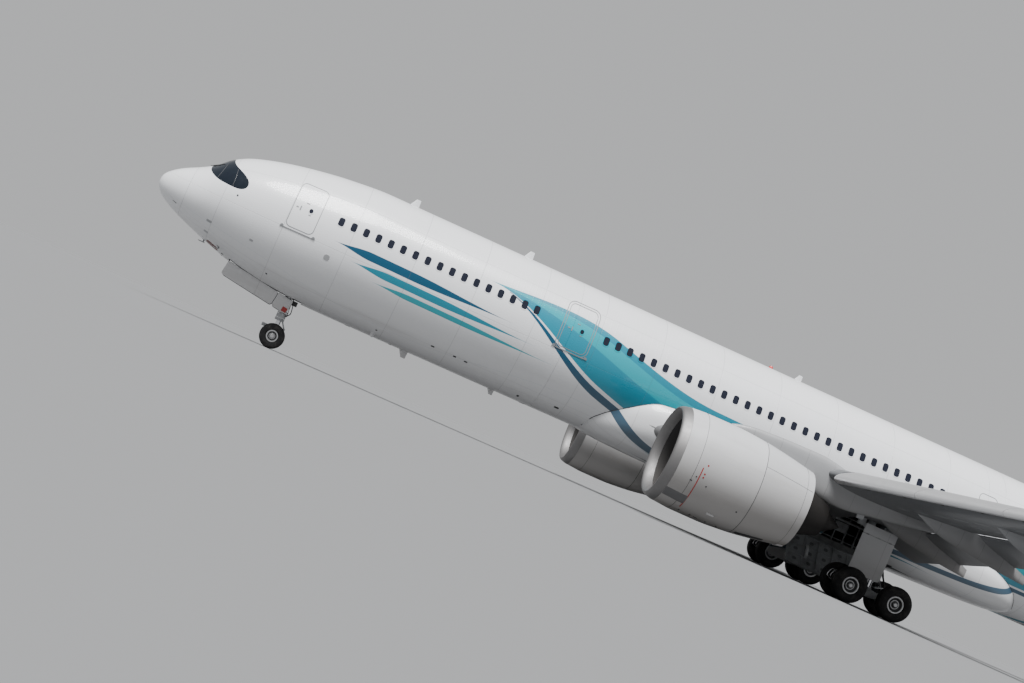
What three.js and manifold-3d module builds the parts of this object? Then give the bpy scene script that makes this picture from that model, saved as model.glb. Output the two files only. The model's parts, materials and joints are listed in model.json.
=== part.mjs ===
// A wide body twin-engine airliner, parked on its landing gear, as a half-size model.
// Everything is written in the real aircraft's metres: X to port, Y aft of the nose, Z above the body's
// centre line. The root group at the end turns that into model millimetres, standing on the floor.
import * as THREE from "three";
import { mergeVertices } from "three/addons/utils/BufferGeometryUtils.js";
import Module from "manifold-3d";

const wasm = await Module();
wasm.setup();

// Driving dimensions, in metres
const MODEL_SCALE = 1 / 2;
const LENGTH = 63.66;
const BODY_RADIUS = 2.82;
const CENTRE_HEIGHT = 4.97; // the body's centre line above the floor
const FLOOR = -CENTRE_HEIGHT;
const GAP = 0.0008; // between pieces that touch
const CLEAR = 0.014; // between pieces that move past each other
const RAD = Math.PI / 180;

// Stations of the pieces, aft of the nose
const RADOME_END = 1.25;
const FORWARD_END = 17.5;
const CENTRE_END = 36.5;
const REAR_END = 53.5;

// Engines
const ENGINE_OUT = 9.37;
const ENGINE_AXIS = -2.52;
const INLET = 21.3;
const FAN_RADIUS = 1.385;
const DUCT_RADIUS = 1.45;

// Landing gear
const NOSE_GEAR = 6.67;
const NOSE_TYRE = { radius: 0.525, width: 0.395, out: 0.36, rim: 0.24 };
const TOW_FACE = 6.08;
const MAIN_GEAR = 32.05;
const MAIN_OUT = 5.34;
const MAIN_TYRE = { radius: 0.7, width: 0.53, out: 0.7, rim: 0.33 };
const BOGIE_BASE = 1.98;
const AXLE_RADIUS = 0.08;
const HUB_BORE = 0.095;
const NOSE_AXLE_Z = FLOOR + NOSE_TYRE.radius;
const MAIN_AXLE_Z = FLOOR + MAIN_TYRE.radius;

// Gear bays: low and high corners, port side for the main ones
const NOSE_BAY = { front: 3.85, aft: 7.2, half: 0.62, roof: -1.55 };
const MAIN_BAY = { front: 29.75, aft: 33.95, inner: 0.45, outer: 2.1, roof: -1.35 };
const LEG_SLOT = { front: 30.5, aft: 32.33, outer: 5.72, roof: -1.5 };
const NOSE_DOOR_END = 6.2;
const NOSE_DOOR_OPEN = -88 * RAD;
const NOSE_DOOR_SINK = 0.07; // of the doors' hinge line under the skin
const MAIN_DOOR_OPEN = 62 * RAD;
const HOLD = { half: 1.35, low: -2.2, high: -0.62, inner: 1.0 };
const HOLD_STATIONS = { front: 12.3, rear: 44.3 };

const WHITE = { color: 0xe9ebee, roughness: 0.32, metalness: 0.0 };
const GREY = { color: 0xa9adb2, roughness: 0.45, metalness: 0.1 };
const METAL = { color: 0xb4b2b4, roughness: 0.32, metalness: 0.9 };
const DARK = { color: 0x2c2b2a, roughness: 0.5, metalness: 0.5 };
const TYRE = { color: 0x17171a, roughness: 0.85, metalness: 0.0 };
const GLASS = { color: 0x0b1520, roughness: 0.1, metalness: 0.0 };
const PRIMER = { color: 0xc9ccd0, roughness: 0.5, metalness: 0.2 };

const part = new THREE.Group();

// Solids

function solidOf(geometry) {
  const plain = geometry.clone();
  plain.deleteAttribute("normal");
  plain.deleteAttribute("uv");
  const merged = mergeVertices(plain, 1e-6);
  const indices = new Uint32Array(merged.index.array);
  const vertices = merged.attributes.position.array;
  const build = () => new wasm.Manifold(new wasm.Mesh({ numProp: 3, vertProperties: vertices, triVerts: indices }));
  const made = build();
  if (made.volume() > 0) return made;
  for (let i = 0; i < indices.length; i += 3) [indices[i], indices[i + 1]] = [indices[i + 1], indices[i]];
  return build();
}

// A closed loft through rings of [x, y, z] points, all with the same count.
function loft(rings) {
  const count = rings[0].length;
  const points = rings.flat();
  const indices = [];
  const apart = (a, b) => new THREE.Vector3(...points[a]).distanceTo(new THREE.Vector3(...points[b]));
  for (let r = 0; r + 1 < rings.length; r++)
    for (let i = 0; i < count; i++) {
      const a = r * count + i;
      const b = r * count + ((i + 1) % count);
      if (apart(b, a + count) < apart(a, b + count)) indices.push(a, b, a + count, b, b + count, a + count);
      else indices.push(a, b, b + count, a, b + count, a + count);
    }
  const last = (rings.length - 1) * count;
  for (let low = 0, high = count - 1; high - low > 1; ) {
    indices.push(low, high, low + 1, last + low, last + low + 1, last + high);
    low += 1;
    if (high - low > 1) {
      indices.push(low, high, high - 1, last + low, last + high - 1, last + high);
      high -= 1;
    }
  }
  const geometry = new THREE.BufferGeometry();
  geometry.setAttribute("position", new THREE.Float32BufferAttribute(points.flat(), 3));
  geometry.setIndex(indices);
  return solidOf(geometry);
}

function box(x0, x1, y0, y1, z0, z1) {
  const geometry = new THREE.BoxGeometry(x1 - x0, y1 - y0, z1 - z0);
  return solidOf(geometry.translate((x0 + x1) / 2, (y0 + y1) / 2, (z0 + z1) / 2));
}

// A round rod between two points.
function rod(from, to, radius, sides = 12) {
  const a = new THREE.Vector3(...from);
  const b = new THREE.Vector3(...to);
  const geometry = new THREE.CylinderGeometry(radius, radius, a.distanceTo(b), sides);
  geometry.applyQuaternion(
    new THREE.Quaternion().setFromUnitVectors(new THREE.Vector3(0, 1, 0), b.clone().sub(a).normalize()),
  );
  return solidOf(geometry.translate(...a.add(b).multiplyScalar(0.5).toArray()));
}

// A solid of revolution about a line along Y. Profile rows: [station, radius].
function turnedAlongY(profile, centre, sides) {
  const points = profile.map(([station, radius]) => new THREE.Vector2(radius, station));
  return solidOf(new THREE.LatheGeometry(points, sides).translate(...centre));
}

// A solid of revolution about a line along X, with a flat of the outline at the bottom.
function turnedAlongX(profile, centre, sides) {
  const grow = 1 / Math.cos(Math.PI / sides);
  const points = profile.map(([out, radius]) => new THREE.Vector2(radius * grow, out));
  const geometry = new THREE.LatheGeometry(points, sides);
  geometry.rotateY(Math.PI / sides).rotateZ(-Math.PI / 2);
  return solidOf(geometry.translate(...centre));
}

// A polygon in the (station, height) plane, extruded from x0 to x1.
function plate(outline, x0, x1) {
  return loft([x0, x1].map((x) => outline.map(([s, z]) => [x, s, z])));
}

const mirrored = (solid) => solid.mirror([1, 0, 0]);

const largest = (solid) =>
  solid.decompose().reduce((best, piece) => (piece.volume() > best.volume() ? piece : best));

function geometryOf(solid, shift = new THREE.Vector3()) {
  const mesh = solid.getMesh();
  const positions = new Float32Array(mesh.numVert * 3);
  for (let i = 0; i < mesh.numVert; i++)
    positions.set(mesh.vertProperties.subarray(i * mesh.numProp, i * mesh.numProp + 3), i * 3);
  const geometry = new THREE.BufferGeometry();
  geometry.setAttribute("position", new THREE.BufferAttribute(positions, 3));
  geometry.setIndex(new THREE.BufferAttribute(mesh.triVerts, 1));
  return geometry.translate(-shift.x, -shift.y, -shift.z);
}

function meshOf(name, solid, look, shift) {
  const mesh = new THREE.Mesh(geometryOf(solid, shift), new THREE.MeshStandardMaterial(look));
  mesh.name = name;
  return mesh;
}

function add(name, solid, look) {
  part.add(meshOf(name, solid, look));
}

// A piece made in its closed or neutral place and turned about its hinge to where it rests.
// hinge: { point, axis, turned }, with the axis as [x, y, z] and the turn in radians.
function addHinged(name, solid, look, hinge) {
  const point = new THREE.Vector3(...hinge.point);
  const axis = new THREE.Vector3(...hinge.axis).normalize();
  const group = new THREE.Group();
  group.position.copy(point);
  group.quaternion.setFromAxisAngle(axis, hinge.turned ?? 0);
  const mesh = meshOf(name, solid, look, point);
  mesh.userData.hinge = { point: point.toArray(), axis: axis.toArray() };
  group.add(mesh);
  part.add(group);
}

// Adds a piece on the port side and its mirror image on the starboard side.
function addPair(name, solid, look) {
  add(name + "_left", solid, look);
  add(name + "_right", mirrored(solid), look);
}

function addHingedPair(name, solid, look, hinge) {
  const [x, y, z] = hinge.point;
  const [ax, ay, az] = hinge.axis;
  addHinged(name + "_left", solid, look, hinge);
  addHinged(name + "_right", mirrored(solid), look, {
    point: [-x, y, z],
    axis: [ax, -ay, -az],
    turned: hinge.turned,
  });
}

// Body

// station, half width, top, bottom
const BODY = [
  [0, 0.03, -0.44, -0.5],
  [0.07, 0.27, -0.18, -0.74],
  [0.28, 0.56, 0.05, -0.99],
  [0.7, 0.92, 0.35, -1.26],
  [1.25, 1.27, 0.64, -1.51],
  [1.8, 1.58, 0.97, -1.72],
  [2.35, 1.83, 1.46, -1.92],
  [2.95, 2.03, 1.8, -2.11],
  [3.6, 2.21, 2.03, -2.31],
  [4.5, 2.42, 2.27, -2.52],
  [5.6, 2.6, 2.49, -2.69],
  [7.0, 2.75, 2.69, -2.8],
  [8.8, BODY_RADIUS, BODY_RADIUS, -BODY_RADIUS],
  [41.5, BODY_RADIUS, BODY_RADIUS, -BODY_RADIUS],
  [44.5, 2.77, 2.82, -2.66],
  [47.5, 2.61, 2.81, -2.26],
  [50.5, 2.35, 2.77, -1.7],
  [53.5, 2.0, 2.69, -1.05],
  [56.5, 1.57, 2.54, -0.36],
  [59.5, 1.08, 2.3, 0.34],
  [61.6, 0.68, 2.06, 0.8],
  [62.9, 0.38, 1.84, 1.12],
];
const BODY_SIDES = 28;

function between(rows, station) {
  const i = Math.max(1, rows.findIndex((row) => row[0] >= station));
  const [a, b] = [rows[i - 1], rows[i]];
  const share = (station - a[0]) / (b[0] - a[0]);
  return a.map((value, k) => value + share * (b[k] - value));
}

function bodyRing([station, half, top, bottom], inset) {
  return Array.from({ length: BODY_SIDES }, (_, i) => {
    const turn = ((i + 0.5) * 2 * Math.PI) / BODY_SIDES;
    const middle = (top + bottom) / 2;
    const rise = (top - bottom) / 2;
    return [(half - inset) * Math.cos(turn), station, middle + (rise - inset) * Math.sin(turn)];
  });
}

// The body's outer form from one station to another, with its skin moved inwards by inset.
function body(from, to, inset = 0) {
  const inside = BODY.filter(([station]) => station > from + 0.01 && station < to - 0.01);
  const rows = [between(BODY, from), ...inside, between(BODY, to)];
  return loft(rows.map((row) => bodyRing(row, inset)));
}

// Belly fairing rows: station, half width, middle height, half height
const FAIRING = [
  [19.6, 0.5, -2.56, 0.2],
  [19.85, 1.75, -1.95, 0.9],
  [20.8, 2.5, -1.75, 1.2],
  [22.2, 3.06, -1.5, 1.5],
  [25.0, 3.25, -1.46, 1.58],
  [29.5, 3.28, -1.46, 1.6],
  [34.4, 3.24, -1.5, 1.54],
  [36.6, 3.05, -1.68, 1.3],
  [38.2, 2.72, -1.88, 1.04],
  [39.2, 2.25, -2.06, 0.78],
  [39.9, 1.3, -2.25, 0.45],
];
const FAIRING_SIDES = 28;
const FAIRING_SQUARENESS = 2.6;
// The stretches between the fairing's panel joints
const FAIRING_PIECES = { front: [19.6, 29.6], centre: [29.6, 34.1], rear: [34.1, 39.9] };

function fairing(inset = 0) {
  const bulge = (value) => Math.sign(value) * Math.abs(value) ** (2 / FAIRING_SQUARENESS);
  return loft(
    FAIRING.map(([station, half, middle, rise]) =>
      Array.from({ length: FAIRING_SIDES }, (_, i) => {
        const turn = ((i + 0.5) * 2 * Math.PI) / FAIRING_SIDES;
        return [(half - inset) * bulge(Math.cos(turn)), station, middle + (rise - inset) * bulge(Math.sin(turn))];
      }),
    ),
  );
}

const bodySkin = body(0, 62.9, -GAP);
const fairingSkin = fairing(-GAP);

const noseBay = box(-NOSE_BAY.half, NOSE_BAY.half, NOSE_BAY.front, NOSE_BAY.aft, -4, NOSE_BAY.roof);
const mainBay = box(MAIN_BAY.inner, MAIN_BAY.outer, MAIN_BAY.front, MAIN_BAY.aft, -4, MAIN_BAY.roof);
const legSlot = box(MAIN_BAY.outer - 0.3, LEG_SLOT.outer, LEG_SLOT.front, LEG_SLOT.aft, -4, LEG_SLOT.roof);
const bays = mainBay.add(legSlot);

// Side outline of the cockpit glazing, as [station, height]
const GLAZING = [
  [1.68, 1.95],
  [1.7, 0.8],
  [1.8, 0.6],
  [2.16, 0.4],
  [2.64, 0.34],
  [3.1, 0.32],
  [3.36, 0.42],
  [3.44, 0.62],
  [3.36, 0.82],
  [3.1, 1.0],
  [2.84, 1.12],
  [2.6, 1.24],
  [2.46, 1.42],
  [2.4, 1.95],
];
const GLASS_SUNK = 0.006;
const GLASS_DEPTH = 0.09;
const GLAZING_MIDDLE = [2.2, 0.9];

function glazingOutline(size) {
  const [s0, z0] = GLAZING_MIDDLE;
  return GLAZING.map(([s, z]) => [s0 + (s - s0) * size, z0 + (z - z0) * size]);
}

function cargoDoorway(station, margin) {
  const { half, low, high } = HOLD;
  return box(-3.2, -1.3, station - half - margin, station + half + margin, low - margin, high + margin);
}

function cargoHold(station) {
  const inside = box(-2.6, -HOLD.inner, station - HOLD.half - 0.2, station + HOLD.half + 0.2, -2.15, -0.55);
  return cargoDoorway(station, CLEAR).add(inside.intersect(body(station - 3, station + 3, 0.16)));
}

// A square pad whose flat face, at the bottom, takes a jack.
const JACK_PAD = { half: 0.15, depth: 0.4 };
function jackPad(out, station, face) {
  const { half, depth } = JACK_PAD;
  return box(out - half, out + half, station - half, station + half, face, face + depth);
}

function buildBody() {
  const forward = body(RADOME_END + GAP, FORWARD_END - GAP);
  const glass = body(RADOME_END, 5, GLASS_SUNK).subtract(body(RADOME_END - 1, 6, GLASS_DEPTH - GAP));
  const glassCut = body(RADOME_END, 5, -1).subtract(body(RADOME_END - 1, 6, GLASS_DEPTH));
  add("radome", body(0, RADOME_END), WHITE);
  add("cockpit_windows", glass.intersect(plate(glazingOutline(1 - 4 * GAP), -2.6, 2.6)), GLASS);
  add(
    "fuselage_forward",
    forward
      .subtract(glassCut.intersect(plate(glazingOutline(1), -2.7, 2.7)))
      .subtract(noseBay)
      .subtract(cargoHold(HOLD_STATIONS.front))
      .add(jackPad(0, 8.35, -2.95)),
    WHITE,
  );
  add("fuselage_centre", body(FORWARD_END, CENTRE_END).subtract(bays).subtract(mirrored(bays)), WHITE);
  add("fuselage_rear", body(CENTRE_END + GAP, REAR_END - GAP).subtract(cargoHold(HOLD_STATIONS.rear)), WHITE);
  add("tail_cone", body(REAR_END, 62.9), WHITE);
  const belly = fairing().subtract(bodySkin).subtract(bays).subtract(mirrored(bays));
  for (const [place, [from, to]] of Object.entries(FAIRING_PIECES))
    add("belly_fairing_" + place, belly.intersect(box(-4, 4, from + GAP, to - GAP, -4, 1)), WHITE);
}

function buildDoors() {
  const noseShell = body(3, 8).subtract(body(2.9, 8.1, 0.05));
  const [, , , frontLow] = between(BODY, NOSE_BAY.front);
  const [, , , aftLow] = between(BODY, NOSE_DOOR_END);
  const hingeOut = NOSE_BAY.half - CLEAR;
  const lowAt = (half, bottom) => bottom * Math.sqrt(1 - (half / 2.5) ** 2) - NOSE_DOOR_SINK;
  const noseHinge = {
    point: [hingeOut, NOSE_BAY.front, lowAt(hingeOut, frontLow)],
    axis: [0, NOSE_DOOR_END - NOSE_BAY.front, lowAt(hingeOut, aftLow) - lowAt(hingeOut, frontLow)],
    turned: NOSE_DOOR_OPEN,
  };
  const frontDoor = box(CLEAR / 2, hingeOut, NOSE_BAY.front + CLEAR, NOSE_DOOR_END - CLEAR, -4, -1.6);
  addHingedPair("nose_gear_door", noseShell.intersect(frontDoor), WHITE, noseHinge);
  const aftDoor = box(CLEAR / 2, hingeOut, NOSE_DOOR_END + CLEAR, NOSE_BAY.aft - 0.3, -4, -1.6);
  addHingedPair("nose_leg_door", noseShell.intersect(aftDoor), WHITE, noseHinge);

  const bellyShell = fairing().subtract(fairing(0.07));
  const mainDoor = box(
    MAIN_BAY.inner + CLEAR,
    MAIN_BAY.outer - CLEAR,
    MAIN_BAY.front + CLEAR,
    MAIN_BAY.aft - CLEAR,
    -4,
    -2.0,
  );
  addHingedPair("main_gear_door", bellyShell.intersect(mainDoor), WHITE, {
    point: [MAIN_BAY.inner + CLEAR, MAIN_BAY.front, -3.08],
    axis: [0, 1, 0],
    turned: MAIN_DOOR_OPEN,
  });

  for (const [place, station] of Object.entries(HOLD_STATIONS)) {
    const shell = body(station - 2, station + 2).subtract(body(station - 2.1, station + 2.1, 0.12));
    const hingeX = -Math.sqrt(BODY_RADIUS ** 2 - HOLD.high ** 2);
    addHinged("cargo_door_" + place, shell.intersect(cargoDoorway(station, 0)), WHITE, {
      point: [hingeX, station, HOLD.high],
      axis: [0, 1, 0],
      turned: 0,
    });
  }
}

// Wings

// span station, leading edge, trailing edge, height, cant in degrees, thickness over chord
const WING = [
  [2.6, 21.4, 33.72, -1.72, 0, 0.118],
  [4.2, 24.06, 33.79, -1.5, 0, 0.14],
  [9.6, 27.3, 34.0, -0.82, 0, 0.12],
  [30.0, 39.54, 42.1, 1.9, 8, 0.105],
  [30.75, 40.1, 42.36, 2.07, 34, 0.1],
  [31.35, 40.75, 42.66, 2.5, 60, 0.1],
  [31.72, 41.6, 43.0, 3.3, 74, 0.095],
  [31.93, 42.7, 43.36, 4.35, 80, 0.09],
];
const CHORD_STATIONS = [0, 0.012, 0.05, 0.14, 0.3, 0.5, 0.7, 0.86, 1];

const halfThickness = (x) =>
  5 * (0.2969 * Math.sqrt(x) - 0.126 * x - 0.3516 * x ** 2 + 0.2843 * x ** 3 - 0.1036 * x ** 4);
const camber = (x) => 0.012 * (1 - (2 * x - 1) ** 2);

// The wing's section at one span station: its leading edge, chord, height and thickness.
function wingAt(span) {
  const [, leading, trailing, height, , thickness] = between(WING, span);
  return { span, leading, trailing, chord: trailing - leading, height, thickness };
}

// Height of the upper (side 1) or lower (side -1) skin at a share x of the chord.
function skin(section, x, side) {
  return section.height + section.chord * (camber(x) + side * section.thickness * halfThickness(x));
}

function aerofoil(chordStations, thickness, cambered) {
  const rise = (x, side) => cambered * camber(x) + side * thickness * halfThickness(x);
  const upper = chordStations.map((x) => [x, rise(x, 1)]);
  const lower = chordStations.slice(1, -1).reverse().map((x) => [x, rise(x, -1)]);
  return [...upper, ...lower];
}

function wingRing([span, leading, trailing, height, cant, thickness], grow = 0) {
  const chord = trailing - leading;
  const lean = cant * RAD;
  return aerofoil(CHORD_STATIONS, thickness + grow / chord, 1).map(([x, rise]) => [
    span - rise * chord * Math.sin(lean),
    leading + x * chord,
    height + rise * chord * Math.cos(lean),
  ]);
}

// A panel of the wing between two span stations, from its outline in metres at each.
function panel(from, to, outline) {
  return loft([from, to].map((span) => outline(wingAt(span)).map(([s, z]) => [span, s, z])));
}

// Span stations of the pieces on each wing
const SLAT_INNER = [4.3, 8.05];
const SLAT_OUTER = [10.15, 28.6];
const FLAP_INNER = [3.45, 9.5];
const FLAP_OUTER = [9.7, 20.3];
const SPOILERS = [10.1, 20.1];
const AILERON = [20.7, 27.6];
const AILERON_HINGE = 0.745;
const AILERON_END_GAP = 0.06;
const FLAP_SEAL = 0.008; // between a lowered flap and its track fairings

// Where the fixed wing stops ahead of a flap: along the spar, and along the shroud above it.
const innerCove = (w) => ({ spar: w.trailing - 1.42, shroud: w.trailing - 0.72 });
const outerCove = (w) => ({ spar: w.leading + 0.7 * w.chord, shroud: w.leading + 0.702 * w.chord });

function coveCut([from, to], cove) {
  return panel(from - 0.05, to + 0.05, (w) => {
    const { spar, shroud } = cove(w);
    const top = (s) => skin(w, (s - w.leading) / w.chord, 1);
    return [
      [spar, w.height - 2],
      [spar, top(spar) - 0.13],
      [shroud, top(shroud) - 0.07],
      [shroud, w.height + 2],
      [w.trailing + 1, w.height + 2],
      [w.trailing + 1, w.height - 2],
    ];
  });
}

// Removes the nose of the wing behind a slat, and leaves a smaller nose.
function slatCut([from, to]) {
  return panel(from - 0.03, to + 0.03, (w) => {
    const at = (x, z) => [w.leading + x * w.chord, w.height + z * w.chord];
    return [
      at(-0.3, -0.2),
      [w.leading + 0.03 * w.chord, w.height - 0.2 * w.chord],
      [w.leading + 0.03 * w.chord, skin(w, 0.03, -1) + 0.006 * w.chord],
      at(0.036, 0.0),
      [w.leading + 0.07 * w.chord, skin(w, 0.07, 1) - 0.012 * w.chord],
      [w.leading + 0.135 * w.chord, skin(w, 0.135, 1) - 0.005 * w.chord],
      [w.leading + 0.135 * w.chord, w.height + 0.3 * w.chord],
      at(-0.3, 0.3),
    ];
  });
}

// A point of a device's outline turned nose down by an angle and moved, all in shares of the chord.
function moved([x, z], pivot, angle, shift) {
  const [dx, dz] = [x - pivot[0], z - pivot[1]];
  return [
    pivot[0] + dx * Math.cos(angle) - dz * Math.sin(angle) + shift[0],
    pivot[1] + dx * Math.sin(angle) + dz * Math.cos(angle) + shift[1],
  ];
}

function slat([from, to]) {
  return panel(from, to, (w) => {
    const rise = (x, side) => (skin(w, x, side) - w.height) / w.chord;
    const outline = [
      [0.13, rise(0.13, 1)],
      [0.05, rise(0.05, 1)],
      [0.012, rise(0.012, 1)],
      [0, 0],
      [0.012, rise(0.012, -1)],
      [0.028, rise(0.028, -1)],
      [0.03, rise(0.028, -1) + 0.008],
      [0.028, 0.012],
      [0.06, rise(0.06, 1) - 0.008],
    ];
    return outline.map((point) => {
      const [x, z] = moved(point, [0.13, rise(0.13, 1)], 0.2, [-0.045, -0.006]);
      return [w.leading + x * w.chord, w.height + z * w.chord];
    });
  });
}

// A lowered flap: nose station, chord, depth of the nose under the wing's height, and droop.
function flap([from, to], place, grow = 0) {
  return panel(from - grow, to + grow, (w) => {
    const { nose, chord, drop, droop } = place(w);
    const outline = aerofoil([0, 0.06, 0.25, 0.6, 1], 0.13, 1).map(([x, z]) => [
      chord * x + grow * (9 * x - 1),
      chord * z + grow * Math.sign(z - camber(x)),
    ]);
    return outline.map(([x, z]) => [
      nose + x * Math.cos(droop) + z * Math.sin(droop),
      w.height - drop + z * Math.cos(droop) - x * Math.sin(droop),
    ]);
  });
}

// Flap track fairings: span station, nose, knee, tail, in metres, and half width
const TRACK_FAIRINGS = [
  [7.2, 30.6, 32.5, 34.75, 0.27],
  [10.9, 30.6, 32.6, 35.35, 0.25],
  [14.4, 32.0, 33.9, 36.4, 0.23],
  [17.9, 33.9, 35.6, 37.75, 0.21],
];

function trackFairing([span, nose, knee, tail, half]) {
  const w = wingAt(span);
  const under = (s) => skin(w, Math.min(1, (s - w.leading) / w.chord), -1);
  // station, top, bottom, half width
  const rows = [
    [nose, under(nose) + 0.05, under(nose) - 0.02, 0.03],
    [(nose + knee) / 2, under((nose + knee) / 2) + 0.1, under(nose) - 0.4, half * 0.8],
    [knee, under(knee) + 0.1, under(nose) - 0.56, half],
    [(knee + tail) / 2, under(knee) - 0.24, under(nose) - 0.72, half * 0.8],
    [tail, under(knee) - 0.62, under(nose) - 0.86, half * 0.28],
  ];
  return loft(
    rows.map(([s, top, bottom, wide]) => [
      [span - wide, s, top],
      [span + wide, s, top],
      [span + wide, s, bottom + 0.4 * (top - bottom)],
      [span + wide * 0.45, s, bottom],
      [span - wide * 0.45, s, bottom],
      [span - wide, s, bottom + 0.4 * (top - bottom)],
    ]),
  );
}

const wingForm = loft(WING.map((row) => wingRing(row)));
const wingGrown = loft(WING.slice(0, 4).map((row) => wingRing(row, 4 * GAP)));

const innerFlapPlace = (w) => ({ nose: w.trailing - 1.33, chord: 1.9, drop: 0.2, droop: 17 * RAD });
const outerFlapPlace = (w) => ({
  nose: w.leading + 0.752 * w.chord,
  chord: 0.29 * w.chord,
  drop: 0.02 * w.chord,
  droop: 17 * RAD,
});

// The outline of a hinged tail or wing surface: a blunt nose at its hinge, tapered to its rear edge.
function hingedOutline(hingeX, half, nose = 0.3) {
  return [
    [hingeX, half],
    [1, 0.0015],
    [1, -0.0015],
    [hingeX, -half],
    [hingeX - nose * half, 0],
  ];
}

const AILERON_NOSE_SWING = 0.62; // forward reach of the turned nose, in half thicknesses
function aileronParts() {
  const half = (w) => w.thickness * halfThickness(AILERON_HINGE);
  const outline = (w) =>
    hingedOutline(AILERON_HINGE, half(w)).map(([x, z]) => [
      w.leading + x * w.chord,
      w.height + (z + camber(x)) * w.chord,
    ]);
  const [from, to] = AILERON;
  const cut = panel(from - AILERON_END_GAP, to + AILERON_END_GAP, (w) => {
    const wall = w.leading + (AILERON_HINGE - AILERON_NOSE_SWING * half(w)) * w.chord - CLEAR;
    return [
      [wall, w.height - 2],
      [wall, w.height + 2],
      [w.trailing + 1, w.height + 2],
      [w.trailing + 1, w.height - 2],
    ];
  });
  const hinge = hingeLine(AILERON, AILERON_HINGE, (w) => w.height + camber(AILERON_HINGE) * w.chord);
  return { cut, solid: panel(from, to, outline), hinge };
}

function hingeLine([from, to], x, height) {
  const [a, b] = [from, to].map((span) => {
    const w = wingAt(span);
    return new THREE.Vector3(span, w.leading + x * w.chord, height(w));
  });
  return { point: a.clone().lerp(b, 0.5).toArray(), axis: b.sub(a).normalize().toArray() };
}

const SPOILER_HINGE = 0.712;
const SPOILER_KNEE = 0.79;
const SPOILER_END = 0.865;
function spoilers() {
  const solid = panel(...SPOILERS, (w) => {
    const at = (x, down) => [w.leading + x * w.chord, skin(w, x, 1) - down];
    const upper = [at(SPOILER_HINGE, 0), at(SPOILER_KNEE, 0), at(SPOILER_END, 0)];
    return [...upper, at(SPOILER_END, 0.015), at(SPOILER_KNEE, 0.05), at(SPOILER_HINGE, 0.08)];
  });
  return { solid, hinge: hingeLine(SPOILERS, SPOILER_HINGE, (w) => skin(w, SPOILER_HINGE, 1)) };
}

function buildWings() {
  const { cut, solid: aileron, hinge } = aileronParts();
  let fixed = wingForm
    .subtract(coveCut(FLAP_INNER, innerCove))
    .subtract(coveCut(FLAP_OUTER, outerCove))
    .subtract(slatCut(SLAT_INNER))
    .subtract(slatCut(SLAT_OUTER))
    .subtract(cut)
    .subtract(legSlot)
    .subtract(fairingSkin)
    .subtract(bodySkin);
  for (const row of TRACK_FAIRINGS) fixed = fixed.add(trackFairing(row));
  fixed = fixed
    .subtract(flap(FLAP_INNER, innerFlapPlace, FLAP_SEAL))
    .subtract(flap(FLAP_OUTER, outerFlapPlace, FLAP_SEAL))
    .add(jackPad(6.6, 30.15, -1.78));
  addPair("wing", largest(fixed), WHITE);
  addPair("slat_inner", slat(SLAT_INNER), METAL);
  addPair("slat_outer", slat(SLAT_OUTER), METAL);
  addPair("flap_inner", flap(FLAP_INNER, innerFlapPlace), GREY);
  addPair("flap_outer", flap(FLAP_OUTER, outerFlapPlace), GREY);
  addHingedPair("aileron", aileron, GREY, hinge);
  const brakes = spoilers();
  addHingedPair("spoilers", brakes.solid, GREY, brakes.hinge);
}

// Tail

// span station, leading edge, trailing edge, height, thickness over chord
const TAILPLANE = [
  [0.8, 54.9, 61.0, 1.08, 0.11],
  [9.72, 60.75, 63.2, 2.0, 0.09],
];
// height, leading edge, trailing edge, thickness over chord
const FIN = [
  [2.1, 51.3, 60.2, 0.11],
  [16.79 - CENTRE_HEIGHT, 60.55, LENGTH, 0.09],
];
const TAIL_STATIONS = [0, 0.02, 0.1, 0.3, 0.55, 0.75, 1];
// The hinge's share of the chord, where the surface starts and ends, and the gap past its ends, which a
// swept hinge line needs
const ELEVATOR = { hinge: 0.7, from: 1.9, to: 9.35, endGap: 0.06 };
const RUDDER = { hinge: 0.7, from: 3.05, to: 11.5, endGap: 0.1 };

function tailplaneOutline(span, outline) {
  const [, leading, trailing, height, thickness] = between(TAILPLANE, span);
  const chord = trailing - leading;
  return outline(thickness, chord).map(([x, z]) => [span, leading + x * chord, height + z * chord]);
}

function finOutline(height, outline) {
  const [, leading, trailing, thickness] = between(FIN, height);
  const chord = trailing - leading;
  return outline(thickness, chord).map(([x, z]) => [z * chord, leading + x * chord, height]);
}

const TAIL_NOSE_SWING = 0.72; // forward reach of the turned nose, in half thicknesses
function surfaceParts(place, outlineAt, ends) {
  const half = (thickness) => thickness * halfThickness(place.hinge);
  const form = loft(ends.map((end) => outlineAt(end, (thickness) => aerofoil(TAIL_STATIONS, thickness, 0))));
  const moving = loft(
    [place.from, place.to].map((end) => outlineAt(end, (thickness) => hingedOutline(place.hinge, half(thickness)))),
  );
  const cut = loft(
    [place.from - place.endGap, place.to + place.endGap].map((end) =>
      outlineAt(end, (thickness, chord) => {
        const wall = place.hinge - TAIL_NOSE_SWING * half(thickness) - CLEAR / chord;
        return [
          [wall, -0.2],
          [wall, 0.2],
          [1.3, 0.2],
          [1.3, -0.2],
        ];
      }),
    ),
  );
  const [a, b] = [place.from, place.to].map((end) => new THREE.Vector3(...outlineAt(end, () => [[place.hinge, 0]])[0]));
  return {
    fixed: form.subtract(cut),
    moving,
    hinge: { point: a.clone().lerp(b, 0.5).toArray(), axis: b.sub(a).normalize().toArray() },
  };
}

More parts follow.
